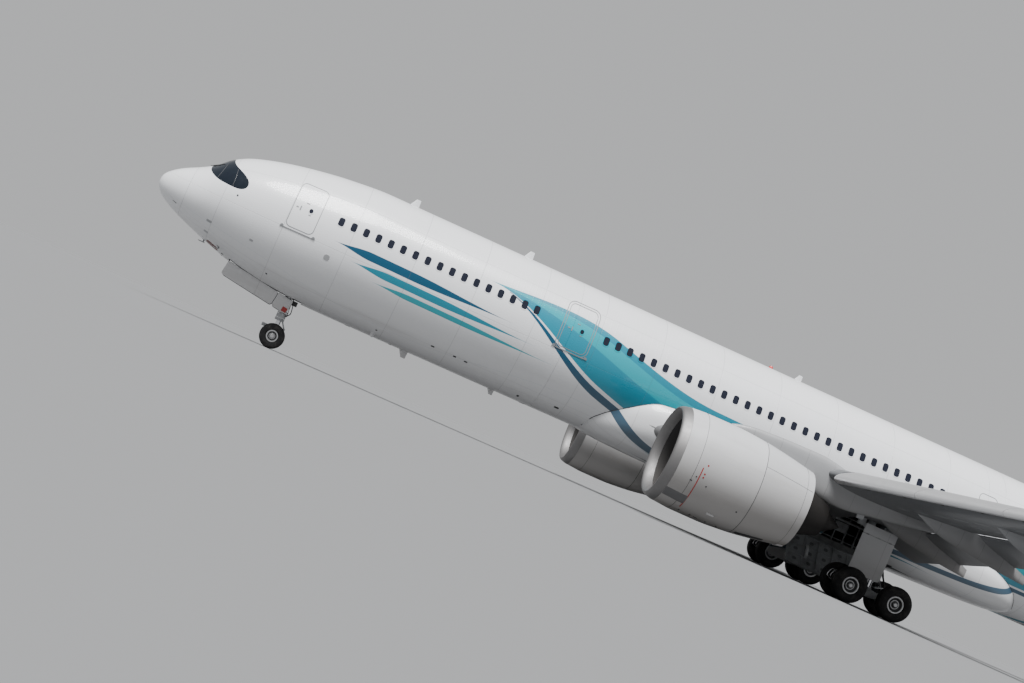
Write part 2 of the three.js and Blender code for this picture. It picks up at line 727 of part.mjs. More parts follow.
function buildTail() {
  const tailplane = surfaceParts(ELEVATOR, tailplaneOutline, [0.8, 9.72]);
  addPair("tailplane", largest(tailplane.fixed.subtract(bodySkin)), WHITE);
  addHingedPair("elevator", tailplane.moving, GREY, tailplane.hinge);
  const fin = surfaceParts(RUDDER, finOutline, [2.1, 16.79 - CENTRE_HEIGHT]);
  add("fin", largest(fin.fixed.subtract(bodySkin)), WHITE);
  addHinged("rudder", fin.moving, WHITE, fin.hinge);
}

// Engines

const ENGINE_SIDES = 32;
const engineCentre = [ENGINE_OUT, INLET, ENGINE_AXIS];

// Profiles about the engine's axis: station aft of the lip, radius
const LIP_END = 0.36;
const LIP = [
  [LIP_END, 1.47],
  [0.16, 1.53],
  [0.04, 1.6],
  [0, 1.66],
  [0.05, 1.73],
  [0.17, 1.78],
  [LIP_END, 1.825],
  [LIP_END, 1.47],
];
const COWL = [
  [LIP_END + GAP, 1.47],
  [LIP_END + GAP, 1.825],
  [1.2, 1.88],
  [2.2, 1.885],
  [3.3, 1.82],
  [4.5, 1.66],
  [5.5, 1.485],
  [5.5, 1.455],
  [4.4, 1.5],
  [3.0, 1.56],
  [2.0, DUCT_RADIUS],
  [1.0, DUCT_RADIUS - 0.01],
  [LIP_END + GAP, 1.47],
];
const CORE = [
  [1.82, 0],
  [1.82, 0.5],
  [2.6, 0.8],
  [4.0, 1.12],
  [5.2, 1.02],
  [6.55, 0.64],
  [6.55, 0.48],
  [7.3, 0.03],
  [7.3, 0],
];
const SPINNER = [
  [0.98, 0],
  [1.08, 0.14],
  [1.3, 0.33],
  [1.5, 0.44],
  [1.76, 0.46],
  [1.76, 0],
];
const BLADES = 20;
const BLADE_MIDDLE = 1.52;

// One fan blade, along +Z from the engine's axis: radius, half chord, pitch in degrees, half thickness
const BLADE = [
  [0.4, 0.15, 35, 0.022],
  [0.9, 0.24, 52, 0.013],
  [FAN_RADIUS, 0.25, 63, 0.008],
];

function blade(turn) {
  const rings = BLADE.map(([radius, half, pitch, thin]) => {
    const [c, s] = [Math.cos(pitch * RAD), Math.sin(pitch * RAD)];
    return [
      [-half, 0],
      [0, thin],
      [half, 0],
      [0, -thin],
    ].map(([along, across]) => [along * s + across * c, BLADE_MIDDLE + along * c - across * s, radius]);
  });
  const turned = rings.map((ring) =>
    ring.map(([x, y, z]) => [x * Math.cos(turn) + z * Math.sin(turn), y, z * Math.cos(turn) - x * Math.sin(turn)]),
  );
  return loft(turned.map((ring) => ring.map(([x, y, z]) => [ENGINE_OUT + x, INLET + y, ENGINE_AXIS + z])));
}

// Side outline of the pylon, as [station, height], before the wing and engine are cut out of it
const PYLON = [
  [22.9, -0.95],
  [23.4, -0.52],
  [24.6, -0.3],
  [26.6, -0.2],
  [30.0, -0.2],
  [32.3, -0.6],
  [32.25, -1.2],
  [30.2, -1.6],
  [28.3, -1.95],
  [27.0, -1.95],
  [25.0, -1.6],
  [23.0, -1.4],
];
const PYLON_HALF = 0.26;

function engineStruts() {
  const struts = [
    box(-0.07, 0.07, 2.9, 5.1, 0.9, 1.6),
    box(-0.06, 0.06, 2.9, 5.0, -1.6, -0.9),
    ...[40, 140, 220, 320].map((turn) => box(-0.03, 0.03, 2.15, 2.5, 0.5, 1.6).rotate([0, turn, 0])),
  ];
  return struts.reduce((all, one) => all.add(one)).translate(engineCentre);
}

function buildEngines() {
  const lip = turnedAlongY(LIP, engineCentre, ENGINE_SIDES);
  const cowl = turnedAlongY(COWL, engineCentre, ENGINE_SIDES);
  const outer = COWL.slice(1, 7);
  const envelope = turnedAlongY(
    [[LIP_END, 0], ...outer.map(([s, r]) => [s, r + 2 * GAP]), [5.5 + GAP, 1.485 + GAP], [5.5 + GAP, 0]],
    engineCentre,
    ENGINE_SIDES,
  );
  const coreForm = turnedAlongY(CORE, engineCentre, ENGINE_SIDES);
  const coreGrown = turnedAlongY(
    CORE.map(([s, r]) => [s, r ? r + 3 * GAP : 0]),
    engineCentre,
    ENGINE_SIDES,
  );
  const duct = turnedAlongY(
    [[1.9, 0], [2.0, DUCT_RADIUS - GAP * 3], [3.0, 1.56 - GAP * 3], [4.4, 1.5 - GAP * 3], [5.4, 1.45 - GAP * 3], [5.4, 0]],
    engineCentre,
    ENGINE_SIDES,
  );
  const core = coreForm.add(engineStruts().intersect(duct));
  let fan = turnedAlongY(SPINNER, engineCentre, 24);
  for (let i = 0; i < BLADES; i++) fan = fan.add(blade((i * 2 * Math.PI) / BLADES));
  const pylon = plate(PYLON, ENGINE_OUT - PYLON_HALF, ENGINE_OUT + PYLON_HALF)
    .subtract(envelope)
    .subtract(coreGrown)
    .subtract(wingGrown)
    .subtract(box(8, 11, 20, 34, -0.92, 2).intersect(box(8, 11, 28.6, 34, -3, 3)));
  addPair("inlet_lip", lip, METAL);
  addPair("engine_cowl", cowl, WHITE);
  addPair("engine_core", core, DARK);
  addPair("pylon", largest(pylon), WHITE);
  addHingedPair("fan", fan, DARK, { point: [ENGINE_OUT, INLET + BLADE_MIDDLE, ENGINE_AXIS], axis: [0, 1, 0] });
}

// Landing gear

const WHEEL_SIDES = 20;

// Twin wheels on one axle, about a line along X. The profile runs from starboard to port.
function wheelPair(tyre, centre) {
  const half = tyre.width / 2;
  const across = (out) => [
    [out - half * 0.55, tyre.rim],
    [out - half, tyre.rim + 0.3 * (tyre.radius - tyre.rim)],
    [out - half, tyre.rim + 0.66 * (tyre.radius - tyre.rim)],
    [out - half * 0.66, tyre.radius],
    [out + half * 0.66, tyre.radius],
    [out + half, tyre.rim + 0.66 * (tyre.radius - tyre.rim)],
    [out + half, tyre.rim + 0.3 * (tyre.radius - tyre.rim)],
    [out + half * 0.55, tyre.rim],
  ];
  const port = across(tyre.out);
  const starboard = port.map(([out, radius]) => [-out, radius]).reverse();
  const hub = tyre.out + 0.02;
  const axle = tyre.out - half * 0.55;
  const profile = [
    [-hub, 0],
    [-hub, AXLE_RADIUS * 1.5],
    ...starboard,
    [-axle, AXLE_RADIUS],
    [axle, AXLE_RADIUS],
    ...port,
    [hub, AXLE_RADIUS * 1.5],
    [hub, 0],
  ];
  return turnedAlongX(profile, centre, WHEEL_SIDES);
}

function buildNoseGear() {
  const legTop = NOSE_BAY.roof - GAP;
  const collar = -3.62;
  const leg = rod([0, NOSE_GEAR, legTop], [0, NOSE_GEAR, collar], 0.15)
    .add(rod([0, NOSE_GEAR, -2.45], [0, 4.75, -1.7], 0.06))
    .add(box(-0.22, 0.22, 4.62, 4.86, -1.85, legTop))
    .add(rod([-0.52, NOSE_GEAR, -1.85], [0.52, NOSE_GEAR, -1.85], 0.1))
    .add(rod([0, NOSE_GEAR, collar + 0.24], [0, NOSE_GEAR, collar], 0.2, 16));
  add("nose_leg", leg, PRIMER);
  const axle = [0, NOSE_GEAR, NOSE_AXLE_Z];
  const fork = rod([0, NOSE_GEAR, collar - CLEAR], [0, NOSE_GEAR, NOSE_AXLE_Z], 0.1)
    .add(rod([0, NOSE_GEAR, collar - CLEAR], [0, NOSE_GEAR, collar - 0.12], 0.2, 16))
    .add(rod([-0.13, NOSE_GEAR, NOSE_AXLE_Z], [0.13, NOSE_GEAR, NOSE_AXLE_Z], 0.13, 16))
    .add(rod([0, NOSE_GEAR + 0.14, collar - 0.08], [0, NOSE_GEAR + 0.34, -4.02], 0.04, 8))
    .add(rod([0, NOSE_GEAR + 0.34, -4.02], [0, NOSE_GEAR + 0.08, NOSE_AXLE_Z + 0.08], 0.04, 8))
    .add(box(-0.1, 0.1, TOW_FACE, NOSE_GEAR, -4.2, -4.06))
    .subtract(rod([-1, NOSE_GEAR, NOSE_AXLE_Z], [1, NOSE_GEAR, NOSE_AXLE_Z], HUB_BORE, 16));
  addHinged("nose_fork", fork, METAL, { point: [0, NOSE_GEAR, collar], axis: [0, 0, 1] });
  addHinged("nose_wheels", wheelPair(NOSE_TYRE, axle), TYRE, { point: axle, axis: [1, 0, 0] });
}

function buildMainGear() {
  const top = LEG_SLOT.roof - GAP;
  const pivot = MAIN_AXLE_Z + 0.1;
  const leg = rod([MAIN_OUT, MAIN_GEAR, top], [MAIN_OUT, MAIN_GEAR, -3.35], 0.19, 16)
    .add(rod([MAIN_OUT, MAIN_GEAR, -3.35], [MAIN_OUT, MAIN_GEAR, pivot + 0.14], 0.13, 12))
    .add(rod([MAIN_OUT, MAIN_GEAR, -3.0], [3.35, MAIN_GEAR - 0.1, -1.75], 0.085))
    .add(rod([MAIN_OUT, MAIN_GEAR, -2.5], [MAIN_OUT, 30.8, -1.75], 0.07))
    .add(box(3.2, 3.5, MAIN_GEAR - 0.22, MAIN_GEAR + 0.02, -1.9, top))
    .add(box(MAIN_OUT - 0.12, MAIN_OUT + 0.12, 30.66, 30.92, -1.9, top))
    .add(rod([MAIN_OUT, MAIN_GEAR - 0.16, -3.3], [MAIN_OUT, MAIN_GEAR - 0.52, -3.62], 0.05, 8))
    .add(rod([MAIN_OUT, MAIN_GEAR - 0.52, -3.62], [MAIN_OUT, MAIN_GEAR - 0.1, -3.95], 0.05, 8));
  addPair("main_leg", leg, PRIMER);
  const [front, aft] = [MAIN_GEAR - BOGIE_BASE / 2, MAIN_GEAR + BOGIE_BASE / 2];
  let bogie = box(MAIN_OUT - 0.13, MAIN_OUT + 0.13, front, aft, MAIN_AXLE_Z - 0.13, MAIN_AXLE_Z + 0.13).add(
    box(MAIN_OUT - 0.17, MAIN_OUT + 0.17, MAIN_GEAR - 0.24, MAIN_GEAR + 0.24, MAIN_AXLE_Z, pivot + 0.14 - GAP),
  );
  for (const station of [front, aft]) {
    const line = (out, radius) =>
      rod([MAIN_OUT - out, station, MAIN_AXLE_Z], [MAIN_OUT + out, station, MAIN_AXLE_Z], radius, 16);
    bogie = bogie.add(line(0.24, 0.15)).subtract(line(1, HUB_BORE));
  }
  addPair("bogie", bogie, PRIMER);
  for (const [place, station] of [
    ["front", front],
    ["rear", aft],
  ]) {
    const centre = [MAIN_OUT, station, MAIN_AXLE_Z];
    addHingedPair("main_wheels_" + place, wheelPair(MAIN_TYRE, centre), TYRE, { point: centre, axis: [1, 0, 0] });
  }
  const panelOut = MAIN_OUT + 0.26;
  const door = box(panelOut, panelOut + 0.06, 30.9, 32.3, -3.75, -1.75)
    .add(box(MAIN_OUT + 0.18, panelOut + 0.02, 31.98, 32.12, -2.1, -1.95))
    .add(box(MAIN_OUT + 0.18, panelOut + 0.02, 31.98, 32.12, -3.25, -3.1))
    .subtract(rod([MAIN_OUT, MAIN_GEAR, 0], [MAIN_OUT, MAIN_GEAR, -5], 0.19 + GAP, 16));
  addPair("leg_door", door, WHITE);
}

buildBody();
buildDoors();
buildWings();
buildTail();
buildEngines();
buildNoseGear();
buildMainGear();

const millimetres = 1000 * MODEL_SCALE;
part.scale.setScalar(millimetres);
part.position.set(0, (-LENGTH / 2) * millimetres, CENTRE_HEIGHT * millimetres);

export default part;
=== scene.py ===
# A wide body twin-engine airliner parked on its gear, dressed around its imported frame.
# Shapes are written in the real aircraft's metres, as (out to port, station aft of the nose, height above
# the body's centre line), and place() turns them into the half-size model's frame.
import json
import math

import bmesh
import bpy
import numpy as np
from mathutils import Matrix, Vector


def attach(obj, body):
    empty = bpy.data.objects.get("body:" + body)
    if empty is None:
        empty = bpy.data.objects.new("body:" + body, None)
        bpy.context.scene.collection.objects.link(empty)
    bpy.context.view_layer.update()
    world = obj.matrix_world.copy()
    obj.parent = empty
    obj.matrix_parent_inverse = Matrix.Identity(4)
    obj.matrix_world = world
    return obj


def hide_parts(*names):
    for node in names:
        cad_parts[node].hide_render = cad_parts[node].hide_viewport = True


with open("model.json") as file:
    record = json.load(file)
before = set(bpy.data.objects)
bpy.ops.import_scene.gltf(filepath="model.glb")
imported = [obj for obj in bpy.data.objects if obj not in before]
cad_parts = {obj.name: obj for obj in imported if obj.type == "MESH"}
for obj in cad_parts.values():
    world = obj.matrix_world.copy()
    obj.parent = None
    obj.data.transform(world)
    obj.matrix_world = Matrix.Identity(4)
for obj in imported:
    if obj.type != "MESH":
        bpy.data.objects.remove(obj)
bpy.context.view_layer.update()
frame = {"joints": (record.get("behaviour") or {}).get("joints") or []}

MODEL_SCALE = 0.5
LENGTH = 63.66
CENTRE_HEIGHT = 4.97
BODY_RADIUS = 2.82
INLET = 21.3  # station of the engines' lips
COWL_SEAM = 3.42  # aft of the lip
PORT, STARBOARD = 1, -1
SIDES = {"left": PORT, "right": STARBOARD}
JOINT_GAP = 0.006  # between neighbouring skins
SMOOTH_ANGLE = 32  # an edge sharper than this, in degrees, stays sharp


# Numbers and points


def place(points):
    a = np.asarray(points, float).reshape(-1, 3)
    return np.column_stack([a[:, 0], a[:, 1] - LENGTH / 2, a[:, 2] + CENTRE_HEIGHT]) * MODEL_SCALE


def smooth_rows(rows):
    """A smooth function through table rows whose first column is the station."""
    table = np.array(rows, float)
    x, y = table[:, 0], table[:, 1:]
    step = np.diff(x)[:, None]
    slope = np.diff(y, axis=0) / step
    both = slope[:-1] * slope[1:]
    total = slope[:-1] + slope[1:]
    inner = np.where(both > 0, 2 * both / np.where(total == 0, 1, total), 0)
    tangent = np.vstack([slope[:1], inner, slope[-1:]])

    def at(value):
        v = np.clip(value, x[0], x[-1])
        i = np.clip(np.searchsorted(x, v) - 1, 0, len(x) - 2)
        t = ((v - x[i]) / step[i, 0])[..., None] if np.ndim(v) else (v - x[i]) / step[i, 0]
        h = step[i] if np.ndim(v) else step[i, 0]
        t2, t3 = t * t, t * t * t
        return (
            (2 * t3 - 3 * t2 + 1) * y[i]
            + (t3 - 2 * t2 + t) * h * tangent[i]
            + (3 * t2 - 2 * t3) * y[i + 1]
            + (t3 - t2) * h * tangent[i + 1]
        )

    return at


def straight_rows(rows):
    table = np.array(rows, float)
    columns = range(1, table.shape[1])
    return lambda value: np.array([np.interp(value, table[:, 0], table[:, k]) for k in columns])


def spaced(start, end, step):
    return np.linspace(start, end, max(2, int(math.ceil(abs(end - start) / step)) + 1))


# Meshes and pieces


def finish_piece(obj, body, slot, replaces=(), angle=SMOOTH_ANGLE):
    obj.data.polygons.foreach_set("use_smooth", [True] * len(obj.data.polygons))
    obj.data.set_sharp_from_angle(angle=math.radians(angle))
    if replaces:
        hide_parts(*replaces)
    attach(obj, body)
    return obj


def raw_object(name, points, faces):
    mesh = bpy.data.meshes.new(name)
    mesh.from_pydata(place(points).tolist(), [], [list(map(int, face)) for face in faces])
    made = bmesh.new()
    made.from_mesh(mesh)
    bmesh.ops.recalc_face_normals(made, faces=made.faces)
    made.to_mesh(mesh)
    made.free()
    obj = bpy.data.objects.new(name, mesh)
    bpy.context.scene.collection.objects.link(obj)
    return obj


def add(name, parts, tone, body="airframe", replaces=(), slot=None, angle=SMOOTH_ANGLE, cutters=()):
    """One piece from a list of (points, faces) parts, with holes cut by the parts in cutters.

    Its slot, the one that SLOTS gives its material unless slot names another or is an empty text, is not
    used."""
    obj = raw_object(name, *joined(parts))
    obj.data.materials.append(MATERIALS[tone])
    if cutters:
        boolean(obj, raw_object(name + "_cutter", *joined(cutters)), "DIFFERENCE", MATERIALS["bay"])
    return finish_piece(obj, body, SLOTS.get(tone) if slot is None else slot, replaces, angle)


def add_both(name, parts, tone, body="airframe", replaces=(), slot=None, angle=SMOOTH_ANGLE, cutters=()):
    """A piece on each side, from the port side's parts. SIDE in the names stands for left or right."""
    for word, side in SIDES.items():
        flipped, holes = ([mirror(one, side) for one in group] for group in (parts, cutters))
        named = [node.replace("SIDE", word) for node in replaces]
        add(name.replace("SIDE", word), flipped, tone, body.replace("SIDE", word), named, slot, angle, holes)


def both(parts):
    """The port side's parts together with the starboard side's."""
    return [mirror(one, side) for side in SIDES.values() for one in parts]


def joined(parts):
    points, faces, start = [], [], 0
    for part_points, part_faces in parts:
        part_points = np.asarray(part_points, float).reshape(-1, 3)
        points.append(part_points)
        faces += [[i + start for i in face] for face in part_faces]
        start += len(part_points)
    return np.vstack(points), faces


def boolean(obj, tool, operation, lining=None):
    """Cuts a closed object out of another, or keeps what both share. Cut faces take the lining."""
    if lining:
        obj.data.materials.append(lining)
        tool.data.materials.append(obj.data.materials[0])
        tool.data.materials.append(lining)
        tool.data.polygons.foreach_set("material_index", [1] * len(tool.data.polygons))
    modifier = obj.modifiers.new("shape", "BOOLEAN")
    modifier.operation = operation
    modifier.solver = "EXACT"
    modifier.use_self = True
    modifier.object = tool
    bpy.context.view_layer.update()
    mesh = bpy.data.meshes.new_from_object(obj.evaluated_get(bpy.context.evaluated_depsgraph_get()))
    obj.modifiers.clear()
    obj.data = mesh
    bpy.data.objects.remove(tool)
    if not len(mesh.polygons):
        raise RuntimeError(obj.name + " lost its faces in a cut")


def loft(rings, closed=False):
    """Quads through rings of points, with flat ends, or closed back to the first ring."""
    count = len(rings[0])
    points = np.asarray(rings, float).reshape(-1, 3)
    faces = []
    last = len(rings) if closed else len(rings) - 1
    for r in range(last):
        a, b = r * count, ((r + 1) % len(rings)) * count
        faces += [[a + i, a + (i + 1) % count, b + (i + 1) % count, b + i] for i in range(count)]
    if not closed:
        faces.append(list(range(count)))
        faces.append([(len(rings) - 1) * count + i for i in reversed(range(count))])
    return points, faces


def mirror(part, side):
    points, faces = part
    return np.asarray(points, float).reshape(-1, 3) * [side, 1, 1], faces


def box(x0, x1, y0, y1, z0, z1):
    return loft([[(x, y0, z0), (x, y1, z0), (x, y1, z1), (x, y0, z1)] for x in (x0, x1)])


def turned(profile, centre, axis, sides):
    """A solid of revolution about "x" or "y", from (along, radius) rows.

    The profile is closed on itself, or on the axis when both its ends lie there."""
    rings = []
    for i in range(sides):
        turn = 2 * math.pi * i / sides
        c, s = math.cos(turn), math.sin(turn)
        if axis == "y":
            rings.append([(centre[0] + r * c, centre[1] + a, centre[2] + r * s) for a, r in profile])
        else:
            rings.append([(centre[0] + a, centre[1] + r * c, centre[2] + r * s) for a, r in profile])
    count = len(profile)
    points = np.array(rings).reshape(-1, 3)
    faces = []
    open_profile = profile[0][1] < 1e-6 and profile[-1][1] < 1e-6
    for i in range(sides):
        a, b = i * count, ((i + 1) % sides) * count
        for k in range(count - 1 if open_profile else count):
            n = (k + 1) % count
            if open_profile and k == 0:
                faces.append([0, a + n, b + n])
            elif open_profile and n == count - 1:
                faces.append([a + k, count - 1, b + k])
            else:
                faces.append([a + k, a + n, b + n, b + k])
    return points, faces


def tube(route, radius, sides=12):
    """A round tube along points, with flat ends."""
    p = np.asarray(route, float)
    radii = np.broadcast_to(radius, len(p))
    along = np.gradient(p, axis=0)
    along /= np.linalg.norm(along, axis=1)[:, None]
    side = np.cross(along[0], [0.31, 0.22, 0.93])
    rings = []
    for i in range(len(p)):
        side = side - along[i] * (side @ along[i])
        side /= np.linalg.norm(side)
        up = np.cross(along[i], side)
        turn = 2 * math.pi * np.arange(sides)[:, None] / sides
        rings.append(p[i] + radii[i] * (np.cos(turn) * side + np.sin(turn) * up))
    return loft(rings)


def rounded(width, height, radius, steps=4):
    """Outline of a rounded rectangle about the origin."""
    outline = []
    for corner, (sx, sy) in enumerate(((1, 1), (-1, 1), (-1, -1), (1, -1))):
        cx, cy = sx * (width / 2 - radius), sy * (height / 2 - radius)
        for k in range(steps + 1):
            turn = math.pi / 2 * (corner + k / steps)
            outline.append((cx + radius * math.cos(turn), cy + radius * math.sin(turn)))
    return np.array(outline)


# Shader values with arithmetic


class Field:
    """A number that varies over the surface, made of shader nodes."""

    def __init__(self, tree, socket):
        self.tree = tree
        self.socket = socket

    def of(self, operation, *others, clamp=False):
        node = self.tree.nodes.new("ShaderNodeMath")
        node.operation = operation
        node.use_clamp = clamp
        for i, value in enumerate((self, *others)):
            if isinstance(value, Field):
                self.tree.links.new(value.socket, node.inputs[i])
            else:
                node.inputs[i].default_value = value
        return Field(self.tree, node.outputs[0])

    def __add__(self, other):
        return self.of("ADD", other)

    def __sub__(self, other):
        return self.of("SUBTRACT", other)

    def __mul__(self, other):
        return self.of("MULTIPLY", other)

    __radd__ = __add__
    __rmul__ = __mul__

    def __rsub__(self, other):
        return self * -1 + other

    def size(self):
        return self.of("ABSOLUTE")

    def clamped(self):
        return self.of("ADD", 0.0, clamp=True)

    def edge(self, softness=0.012):
        """1 where the value is above 0, with a soft edge."""
        return self.of("MULTIPLY_ADD", 1 / softness, 0.5, clamp=True)

    def rise(self, start, end):
        """A smooth step from 0 at start to 1 at end."""
        t = ((self - start) * (1 / (end - start))).clamped()
        return t * t * (3 - 2 * t)

    def line(self, at, half):
        """1 on a thin line where the value equals at."""
        return (half - (self - at).size()).edge(half)

    def repeats(self, pitch, half):
        """1 on thin lines at each multiple of pitch."""
        return (half - self.of("PINGPONG", pitch / 2)).edge(half)


class Shade:
    """A principled material under construction."""

    def __init__(self, name, roughness=0.4, metallic=0.0, coat=0.0, specular=0.5):
        self.material = bpy.data.materials.new(name)
        self.material.use_nodes = True
        self.tree = self.material.node_tree
        self.shader = self.tree.nodes["Principled BSDF"]
        self.shader.inputs["Metallic"].default_value = metallic
        self.shader.inputs["Roughness"].default_value = roughness
        self.shader.inputs["Coat Weight"].default_value = coat
        self.shader.inputs["Coat Roughness"].default_value = 0.06
        self.shader.inputs["Specular IOR Level"].default_value = specular
        self.where = self.tree.nodes.new("ShaderNodeTexCoord").outputs["Object"]
        split = self.tree.nodes.new("ShaderNodeSeparateXYZ")
        self.tree.links.new(self.where, split.inputs[0])
        real = 1 / MODEL_SCALE
        self.out = Field(self.tree, split.outputs[0]) * real
        self.station = Field(self.tree, split.outputs[1]) * real + LENGTH / 2
        self.height = Field(self.tree, split.outputs[2]) * real - CENTRE_HEIGHT

    def noise(self, scale, detail=4.0, rough=0.55, stretch=(1, 1, 1)):
        mapping = self.tree.nodes.new("ShaderNodeMapping")
        mapping.inputs["Scale"].default_value = stretch
        self.tree.links.new(self.where, mapping.inputs[0])
        node = self.tree.nodes.new("ShaderNodeTexNoise")
        node.inputs["Scale"].default_value = scale
        node.inputs["Detail"].default_value = detail
        node.inputs["Roughness"].default_value = rough
        self.tree.links.new(mapping.outputs[0], node.inputs["Vector"])
        return Field(self.tree, node.outputs[0])

    def mix(self, share, low, high, blend="MIX"):
        """A colour between low and high, each a colour or a socket."""
        node = self.tree.nodes.new("ShaderNodeMix")
        node.data_type = "RGBA"
        node.blend_type = blend
        sockets = [s for s in node.inputs if s.name in ("A", "B") and s.type == "RGBA"]
        for socket, value in zip(sockets, (low, high)):
            if isinstance(value, bpy.types.NodeSocket):
                self.tree.links.new(value, socket)
            else:
                socket.default_value = (*value, 1)
        if isinstance(share, Field):
            self.tree.links.new(share.socket, node.inputs[0])
        else:
            node.inputs[0].default_value = share
        return [s for s in node.outputs if s.type == "RGBA"][0]

    def colour(self, socket):
        self.tree.links.new(socket, self.shader.inputs["Base Color"])
        return self

    def rough(self, field):
        self.tree.links.new(field.socket, self.shader.inputs["Roughness"])
        return self

    def bump(self, field, depth):
        """Raises the surface by depth, in the model's metres, where field is 1."""
        node = self.tree.nodes.new("ShaderNodeBump")
        node.inputs["Strength"].default_value = 1.0
        node.inputs["Distance"].default_value = depth
        self.tree.links.new(field.socket, node.inputs["Height"])
        self.tree.links.new(node.outputs[0], self.shader.inputs["Normal"])
        return self


# Colours, as linear light

WHITE = (0.74, 0.75, 0.77)
# The colour of dirt, also used for the painted shade under the body
GRIME_AND_SHADE = (0.16, 0.14, 0.12)
SEAM = (0.12, 0.12, 0.125)
TURQUOISE = (0.0, 0.2, 0.29)
AQUA = (0.0, 0.31, 0.38)
PETROL = (0.0, 0.062, 0.125)
NAVY = (0.006, 0.022, 0.036)
WING_GREY = (0.125, 0.13, 0.138)

# Slim streaks ahead of the wave: start, end, girth level, half width, tone
STREAKS = [
    (7.4, 15.2, -0.02, 0.17, PETROL),
    (8.3, 16.4, -0.5, 0.15, TURQUOISE),
    (9.4, 17.4, -0.92, 0.11, AQUA),
]


def livery(shade, side_wave):
    """Waves of blue-green along the sides and belly, on white."""
    s, h, out = shade.station, shade.height, shade.out.size()
    girth = h.of("ARCTAN2", out) * BODY_RADIUS
    colour = shade.mix(0.0, WHITE, WHITE)

    def paint(mask, tone):
        nonlocal colour
        colour = shade.mix(mask, colour, tone)

    def band(centre, half):
        return (half - (girth - centre).size()).edge()

    # Long slim streaks ahead of the wave
    for start, end, level, half, tone in STREAKS:
        slim = half * s.rise(start, start + 1.6) * (1 - s.rise(end - 4.5, end))
        middle = level - 0.1 * s.rise(start, end)
        paint(band(middle, slim) * (s - start).edge() * (end - s).edge(), tone)
    # The wave along the side
    middle = 1.15 - 2.2 * s.rise(14.0, 24.5)
    half = 1.05 * s.rise(13.6, 19.5) * (1 - 0.45 * s.rise(24.0, 34.0))
    if side_wave:
        paint(band(middle, half) * (s - 13.7).edge(), TURQUOISE)
        paint(band(middle + 0.42 * half, 0.3 * half) * (s - 14.0).edge(), AQUA)
    paint(band(middle - 1.32 * half, 0.16 * half) * (s - 14.6).edge(), PETROL)
    # Dark waves under the belly
    sway = (s * 0.42).of("SINE")
    belly = 0.62 * s.rise(21.8, 25.5) * (1 - s.rise(30.0, 35.5))
    paint(band(-3.25 + 0.4 * sway, belly), NAVY)
    paint(band(-2.42 + 0.4 * sway, 0.2 * belly), TURQUOISE)
    # Grey glove on the fairing, ahead of the wing root and under it
    low = -1.62 - 1.05 * s.rise(21.9, 27.5) + 0.75 * s.rise(31.0, 34.2)
    side = (out - 2.3).edge()
    glove = (h - low).edge() * (-1.6 - h).edge() * (s - 21.9).edge() * (34.0 - s).edge()
    paint(glove * side, WING_GREY)
    paint(h.line(low, 0.02) * (s - 22.0).edge() * (33.9 - s).edge() * side, SEAM)
    # Dark tail end
    sweep = girth + 5.1 - 5.7 * s.rise(36.2, 52.0)
    paint((-1 * sweep).edge(), NAVY)
    paint((0.16 - (sweep - 0.3).size()).edge(), TURQUOISE)
    return colour


def weathered_and_shaded(shade, colour, strength=1.0):
    """Streaks along the airflow and soft patches of dirt, more of them underneath, with painted shade that
    darkens the colour towards the bottom.
    """
    streaks = shade.noise(1.4, 5, 0.6, (1.2, 0.12, 1.2))
    patches = shade.noise(0.9, 6, 0.62)
    # Painted shade: a film that darkens the colour towards the bottom, where the body lies in shade
    under = (-0.2 - shade.height * 0.36).clamped()
    dirt_and_shade_film = under * 0.46 + streaks.rise(0.5, 0.8) * (0.07 + 0.1 * under) + patches.rise(0.55, 0.8) * 0.06
    dirt_and_shade = dirt_and_shade_film * strength
    return shade.mix(dirt_and_shade, colour, GRIME_AND_SHADE), dirt_and_shade


def skin_paint(name, painted=True, side_wave=True):
    shade = Shade(name, coat=0.35)
    colour = livery(shade, side_wave) if painted else shade.mix(0.0, WHITE, WHITE)
    s, h, out = shade.station, shade.height, shade.out
    girth = h.of("ARCTAN2", out.size()) * BODY_RADIUS
    seams = s.repeats(2.665, 0.009)
    seams = seams.of("MAXIMUM", (girth + 0.35).repeats(2.2, 0.008) * 0.8)
    colour = shade.mix(seams * 0.3, colour, SEAM)
    colour, dirt_and_shade = weathered_and_shaded(shade, colour)
    shade.colour(colour)
    shade.rough(0.24 + dirt_and_shade * 0.9 + shade.noise(2.6, 3) * 0.08)
    rivets = (s.repeats(0.26, 0.02) * girth.repeats(0.11, 0.02)) * 0.25
    ripple = shade.noise(0.7, 3) * 0.9
    return shade.bump(ripple + rivets - seams * 0.6, 0.0035).material


def panel_paint(name, base, lines, dirt_and_shade_strength=1.0, roughness=0.4):
    """Plain satin paint with panel lines at two distances, along the stations and out from the middle."""
    shade = Shade(name, coat=0.12)
    seams = shade.station.repeats(lines[0], 0.007).of("MAXIMUM", shade.out.repeats(lines[1], 0.007))
    tone = shade.noise(1.1, 4)
    colour = shade.mix(tone, base, tuple(c * 0.86 for c in base))
    colour = shade.mix(seams * 0.5, colour, tuple(c * 0.35 for c in base))
    colour, dirt_and_shade = weathered_and_shaded(shade, colour, dirt_and_shade_strength)
    shade.colour(colour)
    shade.rough(roughness + dirt_and_shade * 0.6 - 0.08 + shade.noise(3.0, 3) * 0.16)
    return shade.bump(shade.noise(2.5, 3) - seams * 0.8, 0.002).material


